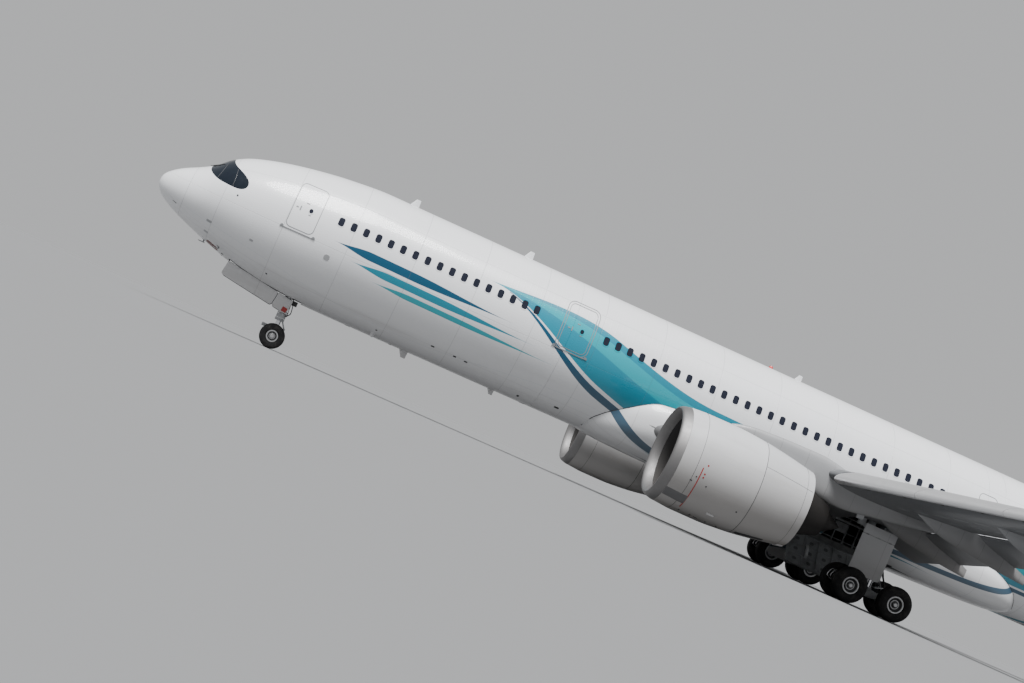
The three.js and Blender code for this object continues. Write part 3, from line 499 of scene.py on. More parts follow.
def door_paint(name):
    """White, with one dark arc across the large doors."""
    shade = Shade(name, coat=0.3)
    colour = shade.mix(shade.noise(0.9, 3), WHITE, tuple(0.9 * c for c in WHITE))
    bow = shade.station - 31.6
    arc = shade.height + 3.62 + 0.09 * bow * bow
    colour = shade.mix((0.17 - arc.size()).edge() * (shade.station - 29).edge(), colour, PETROL)
    colour, dirt_and_shade = weathered_and_shaded(shade, colour)
    shade.colour(colour)
    shade.rough(0.28 + dirt_and_shade * 0.8)
    return shade.bump(shade.noise(0.8, 3), 0.002).material


def tail_paint(name):
    """Waves that rise from the root of the fin."""
    shade = Shade(name, coat=0.35)
    s, h = shade.station, shade.height
    along = s - 0.95 * h
    sway = 0.55 * (h * 0.75).of("SINE")
    colour = shade.mix((along + sway - 49.4).edge(), WHITE, TURQUOISE)
    colour = shade.mix((along + sway - 50.35).edge(), colour, AQUA)
    colour = shade.mix((along + sway - 50.8).edge(), colour, NAVY)
    seams = h.repeats(1.7, 0.008)
    colour = shade.mix(seams * 0.4, colour, SEAM)
    colour, dirt_and_shade = weathered_and_shaded(shade, colour, 0.6)
    shade.colour(colour)
    shade.rough(0.26 + dirt_and_shade)
    return shade.bump(shade.noise(0.9, 3) - seams * 0.6, 0.003).material


def nacelle_paint(name):
    """Pale grey, a little darker behind the seam of the cowl."""
    shade = Shade(name, coat=0.3)
    colour = shade.mix(shade.noise(0.8, 4), (0.62, 0.63, 0.65), (0.5, 0.51, 0.53))
    aft = shade.station.rise(INLET + COWL_SEAM - 0.02, INLET + COWL_SEAM + 0.02)
    colour = shade.mix(aft * 0.25, colour, (0.36, 0.37, 0.38))
    colour, dirt_and_shade = weathered_and_shaded(shade, colour, 1.5)
    shade.colour(colour)
    shade.rough(0.3 + dirt_and_shade * 0.7 + shade.noise(2.4, 3) * 0.1)
    return shade.bump(shade.noise(1.3, 3), 0.0025).material


def bare_metal(name, base, roughness, stretch, soot):
    """Brushed metal; stretch draws its brush marks out, and soot is how dark they are."""
    shade = Shade(name, metallic=1.0)
    brushed = shade.noise(7.0, 6, 0.7, stretch)
    patches = shade.noise(1.6, 4)
    colour = shade.mix(patches, base, tuple(c * 0.78 for c in base))
    colour = shade.mix(brushed * soot, colour, (0.12, 0.115, 0.11))
    shade.colour(colour)
    shade.rough(roughness + brushed * 0.2 - 0.05 + patches * 0.08)
    return shade.bump(brushed, 0.0006).material


def burnt_metal(name):
    shade = Shade(name, metallic=0.6)
    stains = shade.noise(1.3, 5, 0.6, (1, 0.4, 1))
    soot = shade.noise(5.0, 5)
    colour = shade.mix(stains, (0.012, 0.012, 0.012), (0.042, 0.036, 0.032))
    colour = shade.mix(soot * 0.7, colour, (0.01, 0.01, 0.011))
    shade.colour(colour)
    shade.rough(0.42 + soot * 0.3)
    return shade.bump(soot, 0.001).material


def tyre_rubber(name):
    shade = Shade(name, specular=0.35)
    dust = shade.noise(6.0, 6, 0.65)
    scuffs = shade.noise(22.0, 4, 0.6)
    colour = shade.mix(dust.rise(0.45, 0.75), (0.012, 0.012, 0.013), (0.05, 0.047, 0.044))
    shade.colour(shade.mix(scuffs.rise(0.6, 0.8) * 0.5, colour, (0.09, 0.085, 0.08)))
    shade.rough(0.68 + dust * 0.22)
    return shade.bump(scuffs, 0.0009).material


def structure_paint(name, base, rough):
    """Primer and paint inside doors and bays, with grease and dust."""
    shade = Shade(name)
    stains = shade.noise(2.4, 6, 0.65)
    fine = shade.noise(14.0, 4)
    colour = shade.mix(stains.rise(0.45, 0.75), base, tuple(c * 0.42 for c in base))
    colour = shade.mix(fine.rise(0.58, 0.75) * 0.35, colour, (0.05, 0.042, 0.035))
    shade.colour(colour)
    shade.rough(rough + stains * 0.25)
    return shade.bump(fine, 0.0008).material


def dark_glass(name, tint=(0.008, 0.011, 0.016)):
    shade = Shade(name, roughness=0.12, specular=0.12)
    smears = shade.noise(9.0, 3)
    shade.colour(shade.mix(smears * 0.6, tint, tuple(2 * c for c in tint)))
    shade.rough(0.1 + smears * 0.14)
    return shade.bump(shade.noise(1.2, 2), 0.0006).material


def fan_composite(name):
    shade = Shade(name, coat=0.25)
    weave = shade.noise(26.0, 3, 0.5)
    shade.colour(shade.mix(weave, (0.032, 0.033, 0.036), (0.075, 0.078, 0.084)))
    shade.rough(0.34 + weave * 0.2)
    return shade.bump(weave, 0.0004).material


def plain_paint(name, base, roughness):
    shade = Shade(name, coat=0.15)
    tone = shade.noise(5.0, 5)
    shade.colour(shade.mix(tone * 0.3, base, tuple(c * 0.45 for c in base)))
    shade.rough(roughness - 0.06 + tone * 0.14)
    return shade.bump(tone, 0.0005).material


def lamp_glass(name, base):
    shade = Shade(name, roughness=0.1, coat=0.8)
    glow = shade.noise(12.0, 3)
    shade.colour(shade.mix(glow * 0.4, base, tuple(min(1, c * 1.5) for c in base)))
    return shade.rough(0.08 + glow * 0.08).material


MATERIALS = {
    "skin": skin_paint("skin_paint"),
    "belly": skin_paint("belly_fairing_paint", side_wave=False),
    "white": skin_paint("white_paint", painted=False),
    "wing": panel_paint("wing_grey_paint", WING_GREY, (1.9, 1.5)),
    "door": door_paint("gear_door_paint"),
    "tail": tail_paint("tail_paint"),
    "nacelle": nacelle_paint("nacelle_paint"),
    "wheel": structure_paint("wheel_dish_paint", (0.07, 0.071, 0.074), 0.5),
    "hub": bare_metal("wheel_ring_metal", (0.66, 0.66, 0.67), 0.3, (2, 2, 2), 0.2),
    "control": panel_paint("control_grey_paint", (0.185, 0.19, 0.2), (9.0, 2.1)),
    "fairing": panel_paint("track_fairing_paint", (0.27, 0.275, 0.285), (0.9, 50.0), 1.6),
    "pylon": panel_paint("pylon_paint", (0.29, 0.295, 0.305), (1.1, 50.0), 1.5),
    "lip": bare_metal("satin_lip_metal", (0.27, 0.265, 0.265), 0.5, (1, 1, 1), 0.25),
    "slat": bare_metal("slat_metal", (0.9, 0.9, 0.91), 0.34, (1, 12, 1), 0.06),
    "steel": bare_metal("gear_steel_metal", (0.5, 0.51, 0.52), 0.3, (6, 6, 1), 0.3),
    "chrome": bare_metal("strut_chrome", (0.8, 0.8, 0.82), 0.08, (4, 4, 1), 0.05),
    "gear": structure_paint("gear_leg_paint", (0.42, 0.43, 0.44), 0.4),
    "bay": structure_paint("bay_primer", (0.15, 0.155, 0.155), 0.6),
    "door_inside": structure_paint("door_inner_paint", (0.3, 0.31, 0.32), 0.5),
    "stay": structure_paint("stay_white_paint", (0.62, 0.63, 0.64), 0.35),
    "silver": bare_metal("silver_pipe_metal", (0.78, 0.78, 0.79), 0.22, (3, 3, 3), 0.1),
    "pipe": plain_paint("pipe_black", (0.02, 0.02, 0.022), 0.45),
    "burnt": burnt_metal("hot_section_metal"),
    "duct": panel_paint("duct_liner_paint", (0.03, 0.031, 0.034), (0.45, 50.0), 0.5, 0.7),
    "fan": fan_composite("fan_blade_composite"),
    "glass": dark_glass("cockpit_glass"),
    "window": dark_glass("cabin_window_glass", (0.012, 0.014, 0.022)),
    "tyre": tyre_rubber("tyre_rubber"),
    "pale": plain_paint("pale_grey_paint", (0.34, 0.345, 0.355), 0.45),
    "post": plain_paint("windscreen_post_paint", (0.035, 0.037, 0.043), 0.65),
    "dull": plain_paint("nacelle_panel_paint", (0.105, 0.105, 0.108), 0.6),
    "seam": plain_paint("seam_sealant", (0.035, 0.036, 0.038), 0.6),
    "line": plain_paint("door_outline_paint", (0.2, 0.205, 0.215), 0.45),
    "red": plain_paint("red_enamel", (0.32, 0.012, 0.01), 0.35),
    "maroon": plain_paint("maroon_panel_paint", (0.1, 0.012, 0.01), 0.4),
    "lamp": lamp_glass("lamp_glass", (0.75, 0.77, 0.8)),
    "red_lamp": lamp_glass("red_lamp_glass", (0.5, 0.01, 0.008)),
    "green_lamp": lamp_glass("green_lamp_glass", (0.01, 0.4, 0.12)),
}

# The slot named for each material's pieces, though nothing gives it to them; the other materials' pieces have
# none
SLOTS = {
    **dict.fromkeys(("skin", "belly", "white", "door", "tail", "nacelle", "pylon"), "white_paint"),
    **dict.fromkeys(("wing", "control", "fairing", "door_inside"), "grey_paint"),
    **dict.fromkeys(("slat", "lip", "hub", "silver", "chrome"), "bare_metal"),
    **dict.fromkeys(("steel", "gear", "stay", "wheel"), "gear_steel"),
    **dict.fromkeys(("glass", "window"), "windscreen"),
    "burnt": "hot_metal",
    "fan": "fan_blade",
    "tyre": "tyre",
}


# Body

# station, half width, top, bottom
BODY = [
    (0, 0.03, -0.44, -0.5),
    (0.07, 0.27, -0.18, -0.74),
    (0.28, 0.56, 0.05, -0.99),
    (0.7, 0.92, 0.35, -1.26),
    (1.25, 1.27, 0.64, -1.51),
    (1.8, 1.58, 0.97, -1.72),
    (2.35, 1.83, 1.46, -1.92),
    (2.95, 2.03, 1.8, -2.11),
    (3.6, 2.21, 2.03, -2.31),
    (4.5, 2.42, 2.27, -2.52),
    (5.6, 2.6, 2.49, -2.69),
    (7.0, 2.75, 2.69, -2.8),
    (8.8, BODY_RADIUS, BODY_RADIUS, -BODY_RADIUS),
    (41.5, BODY_RADIUS, BODY_RADIUS, -BODY_RADIUS),
    (44.5, 2.77, 2.82, -2.66),
    (47.5, 2.61, 2.81, -2.26),
    (50.5, 2.35, 2.77, -1.7),
    (53.5, 2.0, 2.69, -1.05),
    (56.5, 1.57, 2.54, -0.36),
    (59.5, 1.08, 2.3, 0.34),
    (61.6, 0.68, 2.06, 0.8),
    (62.9, 0.38, 1.84, 1.12),
]
# Smooth in the root of the station, so that the nose is round
body_rows = smooth_rows([(math.sqrt(s), *rest) for s, *rest in BODY])
BODY_SIDES = 144
RADOME_END = 1.25
FORWARD_END = 17.5
CENTRE_END = 36.5
REAR_END = 53.5
TAIL_END = 62.9


def body_at(station):
    return body_rows(math.sqrt(max(0.0, station)))


def bulge(value, power):
    return np.sign(value) * np.abs(value) ** (2 / power)


def cross_ring(centre, half, rise, sides, power=2, phase=0.0):
    """A ring of points across the length: an ellipse for power 2, and squarer above it."""
    turn = 2 * math.pi * (np.arange(sides) + phase) / sides
    out, station, height = centre
    wide, high = half * bulge(np.cos(turn), power), rise * bulge(np.sin(turn), power)
    return np.column_stack([out + wide, np.full(sides, station), height + high])


def body_ring(station, inset=0.0):
    half, top, bottom = body_at(station)
    middle, rise = (top + bottom) / 2, (top - bottom) / 2
    return cross_ring((0, station, middle), half - inset, rise - inset, BODY_SIDES, phase=0.5)


def body_stations(start, end):
    if start < 9:
        roots = spaced(math.sqrt(start), math.sqrt(min(end, 9)), 0.03)
        rest = spaced(9, end, 0.6)[1:] if end > 9 else []
        return [*(roots**2), *rest]
    return list(spaced(start, end, 0.6))


def body_part(start, end):
    return loft([body_ring(s) for s in body_stations(start, end)])


def on_body(station, height, lift=0.0):
    """A point of the body's skin at a station and height, raised by lift."""
    half, top, bottom = body_at(station)
    middle, rise = (top + bottom) / 2, (top - bottom) / 2
    share = np.clip((height - middle) / rise, -1, 1)
    across = half * math.sqrt(1 - share**2)
    normal = np.array([across / half**2, (height - middle) / rise**2])
    normal /= np.linalg.norm(normal)
    return (across + lift * normal[0], station, height + lift * normal[1])


NOSE_BAY = {"front": 3.85, "aft": 7.2, "half": 0.62, "roof": -1.55}
MAIN_BAY = {"front": 29.75, "aft": 33.95, "inner": 0.45, "outer": 2.1, "roof": -1.35}
LEG_SLOT = {"front": 30.5, "aft": 32.33, "outer": 5.72, "roof": -1.5}
HOLD = {"half": 1.35, "low": -2.2, "high": -0.62, "inner": 1.0}
HOLD_STATIONS = {"front": 12.3, "rear": 44.3}
DOOR_CLEAR = 0.014
BELOW = -4.5

# Side outline of the cockpit glazing: station, height
GLAZING = [
    (1.68, 1.95),
    (1.7, 0.8),
    (1.8, 0.6),
    (2.16, 0.4),
    (2.64, 0.34),
    (3.1, 0.32),
    (3.36, 0.42),
    (3.44, 0.62),
    (3.36, 0.82),
    (3.1, 1.0),
    (2.84, 1.12),
    (2.6, 1.24),
    (2.46, 1.42),
    (2.4, 1.95),
]
GLAZING_MIDDLE = np.array([2.2, 0.9])
GLAZING_REACH = 2.7


def bay_cutters():
    bay, slot = MAIN_BAY, LEG_SLOT
    well = box(bay["inner"], bay["outer"], bay["front"], bay["aft"], BELOW, bay["roof"])
    beside = box(bay["outer"] - 0.3, slot["outer"], slot["front"], slot["aft"], BELOW, slot["roof"])
    return both([well, beside])


def nose_bay_cutter():
    half = NOSE_BAY["half"]
    return box(-half, half, NOSE_BAY["front"], NOSE_BAY["aft"], BELOW, NOSE_BAY["roof"])


def rounded_glazing(grow=0.0):
    """The glazing's outline with its corners rounded, as a prism across the nose."""
    outline = np.array(GLAZING)
    for _ in range(3):
        after = np.roll(outline, -1, axis=0)
        outline = np.stack([0.75 * outline + 0.25 * after, 0.25 * outline + 0.75 * after], 1).reshape(-1, 2)
    outline = GLAZING_MIDDLE + (outline - GLAZING_MIDDLE) * (1 + grow)
    return loft([[(x, s, h) for s, h in outline] for x in (-GLAZING_REACH, GLAZING_REACH)])


def nose_shell(start, end, inset, depth):
    """A closed shell around the nose, between two insets from the body's skin."""
    stations = body_stations(start, end)
    outer, inner = (loft([body_ring(s, at) for s in stations]) for at in (inset, depth))
    count, behind = BODY_SIDES, len(outer[0])
    faces = outer[1][:-2] + [[i + behind for i in face] for face in inner[1][:-2]]
    for base in (0, behind - count):
        faces += ring_faces(count, base, behind + base)
    return np.vstack([outer[0], inner[0]]), faces


def make_windscreen():
    """The panes, a little below the skin and a little smaller than their opening."""
    obj = raw_object("windscreen", *nose_shell(1.4, 3.9, 0.004, 0.07))
    obj.data.materials.append(MATERIALS["glass"])
    boolean(obj, raw_object("glazing_inner", *rounded_glazing(-0.004)), "INTERSECT")
    finish_piece(obj, "airframe", "windscreen", ["cockpit_windows"], 40)


def open_windscreen(skin):
    """Cuts the opening for the panes, which has a floor behind them."""
    opening = raw_object("glazing_opening", *nose_shell(1.3, 4.0, -0.3, 0.085))
    boolean(opening, raw_object("glazing_outer", *rounded_glazing()), "INTERSECT")
    boolean(skin, opening, "DIFFERENCE", MATERIALS["seam"])
    skin.data.set_sharp_from_angle(angle=math.radians(SMOOTH_ANGLE))


def make_body():
    gap = JOINT_GAP / 2
    front_cutters = [nose_bay_cutter(), hold_cutter("front")]
    rows = (
        ("radome_skin", "radome", 0, RADOME_END - gap, "white", ()),
        ("forward_skin", "fuselage_forward", RADOME_END + gap, FORWARD_END - gap, "skin", front_cutters),
        ("centre_skin", "fuselage_centre", FORWARD_END + gap, CENTRE_END - gap, "skin", bay_cutters()),
        ("rear_skin", "fuselage_rear", CENTRE_END + gap, REAR_END - gap, "skin", [hold_cutter("rear")]),
        ("tail_skin", "tail_cone", REAR_END + gap, TAIL_END, "skin", ()),
    )
    skins = {}
    for name, node, start, end, tone, cutters in rows:
        skins[name] = add(name, [body_part(start, end)], tone, replaces=[node], cutters=cutters)
    make_windscreen()
    open_windscreen(skins["forward_skin"])
    dress_windscreen()


def on_crown(out, station, lift=0.0):
    """A point of the body's upper skin at a distance out from the centre line."""
    half, top, bottom = body_at(station)
    middle, rise = (top + bottom) / 2, (top - bottom) / 2
    return (out, station, middle + rise * math.sqrt(1 - (out / half) ** 2) + lift)


# Posts between the panes, from low to high: station, height
POSTS = [[(2.16, 0.44), (2.24, 0.8), (2.3, 1.16)], [(2.86, 0.36), (2.84, 0.7), (2.78, 1.08)]]
POST_LIFT = 0.002
# Each wiper's arm and blade: route as (out, station), height above the skin, radius
WIPERS = [
    ([(0.16, 1.62), (0.42, 1.8), (0.7, 1.98)], 0.03, 0.014),
    ([(0.46, 1.76), (0.66, 1.96), (0.84, 2.16)], 0.018, 0.012),
]


def dress_windscreen():
    frames = [([on_body(s, h, POST_LIFT) for s, h in bent(route, 12)], 0.013, 8) for route in POSTS]
    posts = tubes(frames, (0, 0, 0), (1, -1))
    posts.append(tube([on_crown(0, s, POST_LIFT) for s in np.linspace(1.72, 2.38, 10)], 0.02, 8))
    arms = [([on_crown(x, s, lift) for x, s in route], radius, 6) for route, lift, radius in WIPERS]
    add("windscreen_posts", posts, "post")
    add("windscreen_wipers", tubes(arms, (0, 0, 0), (1, -1), 8), "pipe")


def hold_cutter(which):
    station = HOLD_STATIONS[which]
    half, low, high = HOLD["half"] + DOOR_CLEAR, HOLD["low"] - DOOR_CLEAR, HOLD["high"] + DOOR_CLEAR
    return box(-3.2, -HOLD["inner"] - 0.1, station - half, station + half, low, high)


# The fairing around the wing root: station, half width, middle height, half height
FAIRING = [
    (19.6, 0.5, -2.56, 0.2),
    (19.85, 1.75, -1.95, 0.9),
    (20.8, 2.5, -1.75, 1.2),
    (22.2, 3.06, -1.5, 1.5),
    (25.0, 3.25, -1.46, 1.58),
    (29.5, 3.28, -1.46, 1.6),
    (34.4, 3.24, -1.5, 1.54),
    (36.6, 3.05, -1.68, 1.3),
    (38.2, 2.72, -1.88, 1.04),
    (39.2, 2.25, -2.06, 0.78),
    (39.9, 1.3, -2.25, 0.45),
]
fairing_rows = smooth_rows(FAIRING)
FAIRING_SIDES = 128
FAIRING_SQUARENESS = 2.6


def fairing_ring(station):
    half, middle, rise = fairing_rows(station)
    return cross_ring((0, station, middle), half, rise, FAIRING_SIDES, FAIRING_SQUARENESS, 0.5)


def fairing_half_width(station, height):
    half, middle, rise = fairing_rows(station)
    share = min(1.0, abs(height - middle) / rise)
    return half * (1 - share**FAIRING_SQUARENESS) ** (1 / FAIRING_SQUARENESS)


def fairing_seam():
    """Points where the fairing's upper edge leaves the body, from front to rear."""
    route = []
    for station in [*spaced(19.72, 22.0, 0.12), *spaced(22.4, 38.5, 0.5), *spaced(38.6, 39.75, 0.1)]:
        for height in np.arange(1.2, -2.8, -0.02):
            point = on_body(station, height)
            _, middle, rise = fairing_rows(station)
            if abs(height - middle) < rise and fairing_half_width(station, height) > abs(point[0]):
                route.append(point)
                break
    return route


def make_fairing():
    first, last = FAIRING[0][0], FAIRING[-1][0]
    stations = [*spaced(first, 22.2, 0.1), *spaced(22.5, 38.2, 0.35), *spaced(38.3, last, 0.1)]
    nodes = ["belly_fairing_" + part for part in ("front", "centre", "rear")]
    rings = [fairing_ring(s) for s in stations]
    add("belly_fairing_skin", [loft(rings)], "belly", replaces=nodes, cutters=bay_cutters())
    add_both("fairing_seal_SIDE", [tube(fairing_seam(), 0.022, 8)], "seam")


# Cabin windows and doors

WINDOW_HEIGHT = 0.77
WINDOW_PITCH = 0.533
# first station, last station
WINDOW_RUNS = [(7.36, 16.0), (18.99, 35.6), (37.54, 50.3)]
# name, front station, rear station, sill, top
CABIN_DOORS = [
    ("door_1", 5.36, 6.5, -0.22, 1.68),
    ("door_2", 17.15, 18.35, -0.16, 1.7),
    ("door_3", 36.1, 36.95, -0.1, 1.5),
    ("door_4", 51.4, 52.5, -0.2, 1.68),
]


def patch(outline, station, height, lift):
    return [on_body(station + a, height + b, lift) for a, b in outline]


def ring_faces(count, start_a, start_b):
    steps = [(i, (i + 1) % count) for i in range(count)]
    return [[start_a + i, start_a + j, start_b + j, start_b + i] for i, j in steps]


def band_part(rings):
    """A closed band through rings of points, the last one joined to the first."""
    count, faces = len(rings[0]), []
    for k in range(len(rings)):
        faces += ring_faces(count, k * count, (k + 1) % len(rings) * count)
    return sum(rings, []), faces


def window_parts(station, height, size=(0.25, 0.36), radius=0.09):
    """Glass sunk a little in its opening, and the frame around it."""
    outer = rounded(size[0] + 0.07, size[1] + 0.07, radius + 0.035)
    inner = rounded(*size, radius)
    count = len(inner)
    at = lambda outline, lift: patch(outline, station, height, lift)
    points = at(inner * 0.98, 0.0035) + at(inner * 0.5, 0.002) + at(inner * 0.98, -0.03)
    faces = ring_faces(count, 0, count) + ring_faces(count, 0, 2 * count)
    faces += [list(range(count, 2 * count)), list(range(2 * count, 3 * count))]
    rings = [at(inner, -PLATE_DEPTH), at(inner, 0.008), at(outer * 0.985, 0.009), at(outer, -PLATE_DEPTH)]
    return (points, faces), band_part(rings)


def window_stations():
    stations = []
    for first, last in WINDOW_RUNS:
        count = int((last - first) / WINDOW_PITCH + 1.01)
        stations += [first + k * WINDOW_PITCH for k in range(count)]
    return stations


# Rings of a thin plate: share of the outline, share of the lift
PLATE_RINGS = [(1.0, 0.7), (0.985, 1.0), (0.75, 1.0), (0.5, 1.0), (0.25, 1.0)]
PLATE_DEPTH = 0.02
BAND_LIFT = 0.006


def plate_on(at, outline, lift):
    """A thin closed plate on a curved surface. at(a, b, up) is a point for the outline's coordinates."""
    outline = np.array(outline)
    count = len(outline)
    rings = [[at(a, b, -PLATE_DEPTH) for a, b in outline]]
    rings += [[at(a, b, share * lift) for a, b in outline * size] for size, share in PLATE_RINGS]
    faces = [list(range(count))]
    for k in range(len(rings) - 1):
        faces += ring_faces(count, k * count, (k + 1) * count)
    last, middle = (len(rings) - 1) * count, len(rings) * count
    faces += [[last + i, last + (i + 1) % count, middle] for i in range(count)]
    return [*sum(rings, []), at(0, 0, lift)], faces


def make_windows():
    panes, rims = [], []
    for station in window_stations():
        climb = 0.012 * max(0.0, station - 44)
        pane, rim = window_parts(station, WINDOW_HEIGHT + climb)
        panes.append(pane)
        rims.append(rim)
    add_both("cabin_glass_SIDE", panes, "window")
    add_both("cabin_window_frames_SIDE", rims, "skin")


def band_on_body(outline, station, height, width):
    """A raised closed strip that follows an outline on the body."""
    along = np.roll(outline, -1, 0) - np.roll(outline, 1, 0)
    along /= np.linalg.norm(along, axis=1)[:, None]
    normal = np.column_stack([along[:, 1], -along[:, 0]]) * width / 2
    edges = ((outline - normal, -PLATE_DEPTH), (outline - normal, BAND_LIFT))
    edges += ((outline + normal, BAND_LIFT), (outline + normal, -PLATE_DEPTH))
    return band_part([patch(edge, station, height, lift) for edge, lift in edges])


def dense(outline, step=0.12):
    """More points along an outline's long sides."""
    points = []
    for a, b in zip(outline, np.roll(outline, -1, 0)):
        n = max(1, int(np.linalg.norm(b - a) / step))
        points += [a + (b - a) * k / n for k in range(n)]
    return np.array(points)


def slab_on_body(outline, station, height, lift):
    """A thin plate on the body, from an outline around its middle."""
    return plate_on(lambda a, b, up: on_body(station + a, height + b, up), outline, lift)


# Small fittings on each door, from its middle: along, up, wide, high
DOOR_MARKS = [
    (-0.26, -0.1, 0.05, 0.2),
    (-0.4, -0.1, 0.1, 0.05),
    (-0.05, 0.18, 0.14, 0.035),
    (0.17, -0.24, 0.1, 0.03),
]
SILL_BRACKET = [(-0.08, -0.05), (0.08, -0.05), (0.06, 0.02), (0, 0.06), (-0.06, 0.02)]


def make_cabin_doors():
    outlines, sills, panes, rims, handles = [], [], [], [], []
    for name, front, rear, low, high in CABIN_DOORS:
        middle, level = (front + rear) / 2, (low + high) / 2
        wide, tall = rear - front, high - low
        outlines.append(band_on_body(dense(rounded(wide, tall, 0.2, 6)), middle, level, 0.026))
        if name == "door_2":
            surround = dense(rounded(wide + 0.2, tall + 0.2, 0.28, 6))
            outlines.append(band_on_body(surround, middle, level, 0.03))
        sill = dense(rounded(wide + 0.3, 0.04, 0.018, 2), 0.2)
        sills.append(slab_on_body(sill, middle, low - 0.1, 0.02))
        for end in (-1, 1):
            sills.append(slab_on_body(SILL_BRACKET, middle + end * (wide / 2 + 0.1), low - 0.06, 0.03))
        pane, rim = window_parts(middle + 0.17, level - 0.06, (0.16, 0.19), 0.075)
        panes.append(pane)
        rims.append(rim)
        for along, up, w, h in DOOR_MARKS:
            mark = rounded(w, h, 0.4 * min(w, h), 2)
            handles.append(slab_on_body(mark, middle + along, level + up, 0.008))
    add_both("cabin_door_outlines_SIDE", outlines, "line")
    add_both("cabin_door_sills_SIDE", sills, "line")
    add_both("cabin_door_glass_SIDE", panes, "window")
    add_both("cabin_door_window_frames_SIDE", rims, "skin")
    add_both("cabin_door_handles_SIDE", handles, "line")


def on_girth(station, turn, lift=0.0):
    """A point of the body's skin; turn is in degrees round it, 0 at the side and -90 at the bottom."""
    half, top, bottom = body_at(station)
    middle, rise = (top + bottom) / 2, (top - bottom) / 2
    angle = math.radians(turn)
    return ((half + lift) * math.cos(angle), station, middle + (rise + lift) * math.sin(angle))


def body_plate(station, turn, wide, high, lift=0.008, corner=0.4):
    """A plate on the body: wide along it, high round it, and a corner that is a share of its short side."""
    half = max(0.5, body_at(station)[0])
    at = lambda a, b, up: on_girth(station + a, turn + math.degrees(b / half), up)
    return plate_on(at, dense(rounded(wide, high, corner * min(wide, high), 4), 0.1), lift)


# Ports, vents and plates: station, turn, wide, high
PORT_MARKS = [
    (3.28, -68, 0.05, 0.1),
    (3.5, -76, 0.1, 0.1),
    (5.46, -57, 0.08, 0.08),
    (12.72, -52, 0.16, 0.08),
    (13.7, -52.5, 0.14, 0.09),
    (14.2, -53, 0.16, 0.07),
    (16.8, -69, 0.1, 0.18),
    (3.2, 6.5, 0.07, 0.07),
    (10.4, -64, 0.09, 0.09),
    (18.4, -60, 0.22, 0.12),
    (41.2, -48, 0.16, 0.16),
    (42.6, -60, 0.3, 0.1),
    (46.8, -40, 0.12, 0.12),
    (56.2, -10, 0.5, 0.22),
    (57.4, 20, 0.3, 0.3),
]
# Plates on the keel: station, turn, wide, high
BELLY_MARKS = [
    (3.46, -90, 0.1, 0.1),
    (9.3, -90, 0.24, 0.14),
    (11.2, -90, 0.12, 0.3),
    (17.2, -90, 0.2, 0.2),
    (42.0, -90, 0.2, 0.2),
    (47.0, -90, 0.3, 0.16),
]
GREY_PLATES = [
    (2.56, -37, 0.24, 0.12),
    (2.58, -56, 0.2, 0.12),
    (7.38, -15, 0.24, 0.24),
    (4.4, -30, 0.16, 0.1),
]
# station, turn of the probes on each side of the nose
PROBES = [(2.57, -84), (3.25, -66)]
# station, turn, length, height
AERIALS = [
    (9.6, 90, 0.42, 0.36),
    (14.8, 90, 0.42, 0.36),
    (27.5, 90, 0.36, 0.3),
    (45.2, 90, 0.42, 0.36),
    (11.6, -90, 0.42, 0.34),
    (15.6, -90, 0.34, 0.26),
    (43.6, -90, 0.34, 0.26),
    (10.2, -72, 0.2, 0.24),
    (42.4, -74, 0.2, 0.24),
]


def antenna(station, turn, length, height):
    """A swept blade with a round front edge."""
    c, s = math.cos(math.radians(turn)), math.sin(math.radians(turn))
    foot = np.array(on_girth(station, turn))
    out, across = np.array([c, 0, s]), np.array([-s, 0, c])
    rings = []
    for share in np.linspace(0, 1, 6):
        chord = length * (1 - 0.55 * share)
        ring = []
        for k in range(14):
            angle = 2 * math.pi * k / 14
            along = chord * (0.5 - 0.5 * math.cos(angle)) + 0.5 * length * share
            thick = 0.06 * chord * math.sin(angle) * (1.3 - 0.6 * (along / length))
            ring.append(foot + out * (height * share - 0.05) + across * thick + np.array([0, along, 0]))
        rings.append(ring)
    return loft(rings)


def probe_rows(station, turn):
    """A short mast and its tube, which points forward, each as (points, radius, sides)."""
    foot, head = (np.array(on_girth(station, turn, lift)) for lift in (-0.02, 0.1))
    mast = ([foot, head + (0, 0.02, 0)], 0.022, 8)
    return [mast, ([head + (0, 0.06, 0), head - (0, 0.2, 0)], [0.02, 0.012], 8)]


BEACON_STATION = 26.4


def beacon(height, way):
    """A lamp on the crown or, with way -1, under the belly."""
    dome = [(-0.05, 0.0), (-0.05, 0.11), (0.03, 0.1), (0.1, 0.06), (0.13, 0.0)]
    points, faces = turned(dome, (0, 0, 0), "y", 24)
    upright = np.column_stack([points[:, 0], points[:, 2], way * points[:, 1]])
    return upright + (0, BEACON_STATION, height), faces


def make_body_fittings():
    darks = [body_plate(*row) for row in PORT_MARKS] + [body_plate(0.95, -44, 0.2, 0.03, 0.006)]
    greys = [body_plate(*row) for row in GREY_PLATES]
    greys += [body_plate(*row, 0.16, 0.1, 0.006) for row in PROBES]
    add("body_ports", both(darks) + [body_plate(*row) for row in BELLY_MARKS], "seam")
    add("body_grey_plates", both(greys), "pale")
    probes = [row for place_on_nose in PROBES for row in probe_rows(*place_on_nose)]
    add("nose_probes", tubes(probes, (0, 0, 0), (1, -1)), "steel", slot="bare_metal")
    add("nose_maroon_panels", both([body_plate(2.98, -77, 0.56, 0.44, 0.006, 0.3)]), "maroon")
    add("body_antennas", [antenna(*row) for row in AERIALS], "white")
    add("beacons", [beacon(BODY_RADIUS, 1), beacon(-3.05, -1)], "red_lamp")
    rim = [(-0.06, 0.0), (-0.06, 0.33), (0.03, 0.33), (0.03, 0.28), (-0.03, 0.26), (-0.03, 0.0)]
    add("tail_exhaust", [turned(rim, (0, TAIL_END, 1.48), "y", 40)], "burnt")


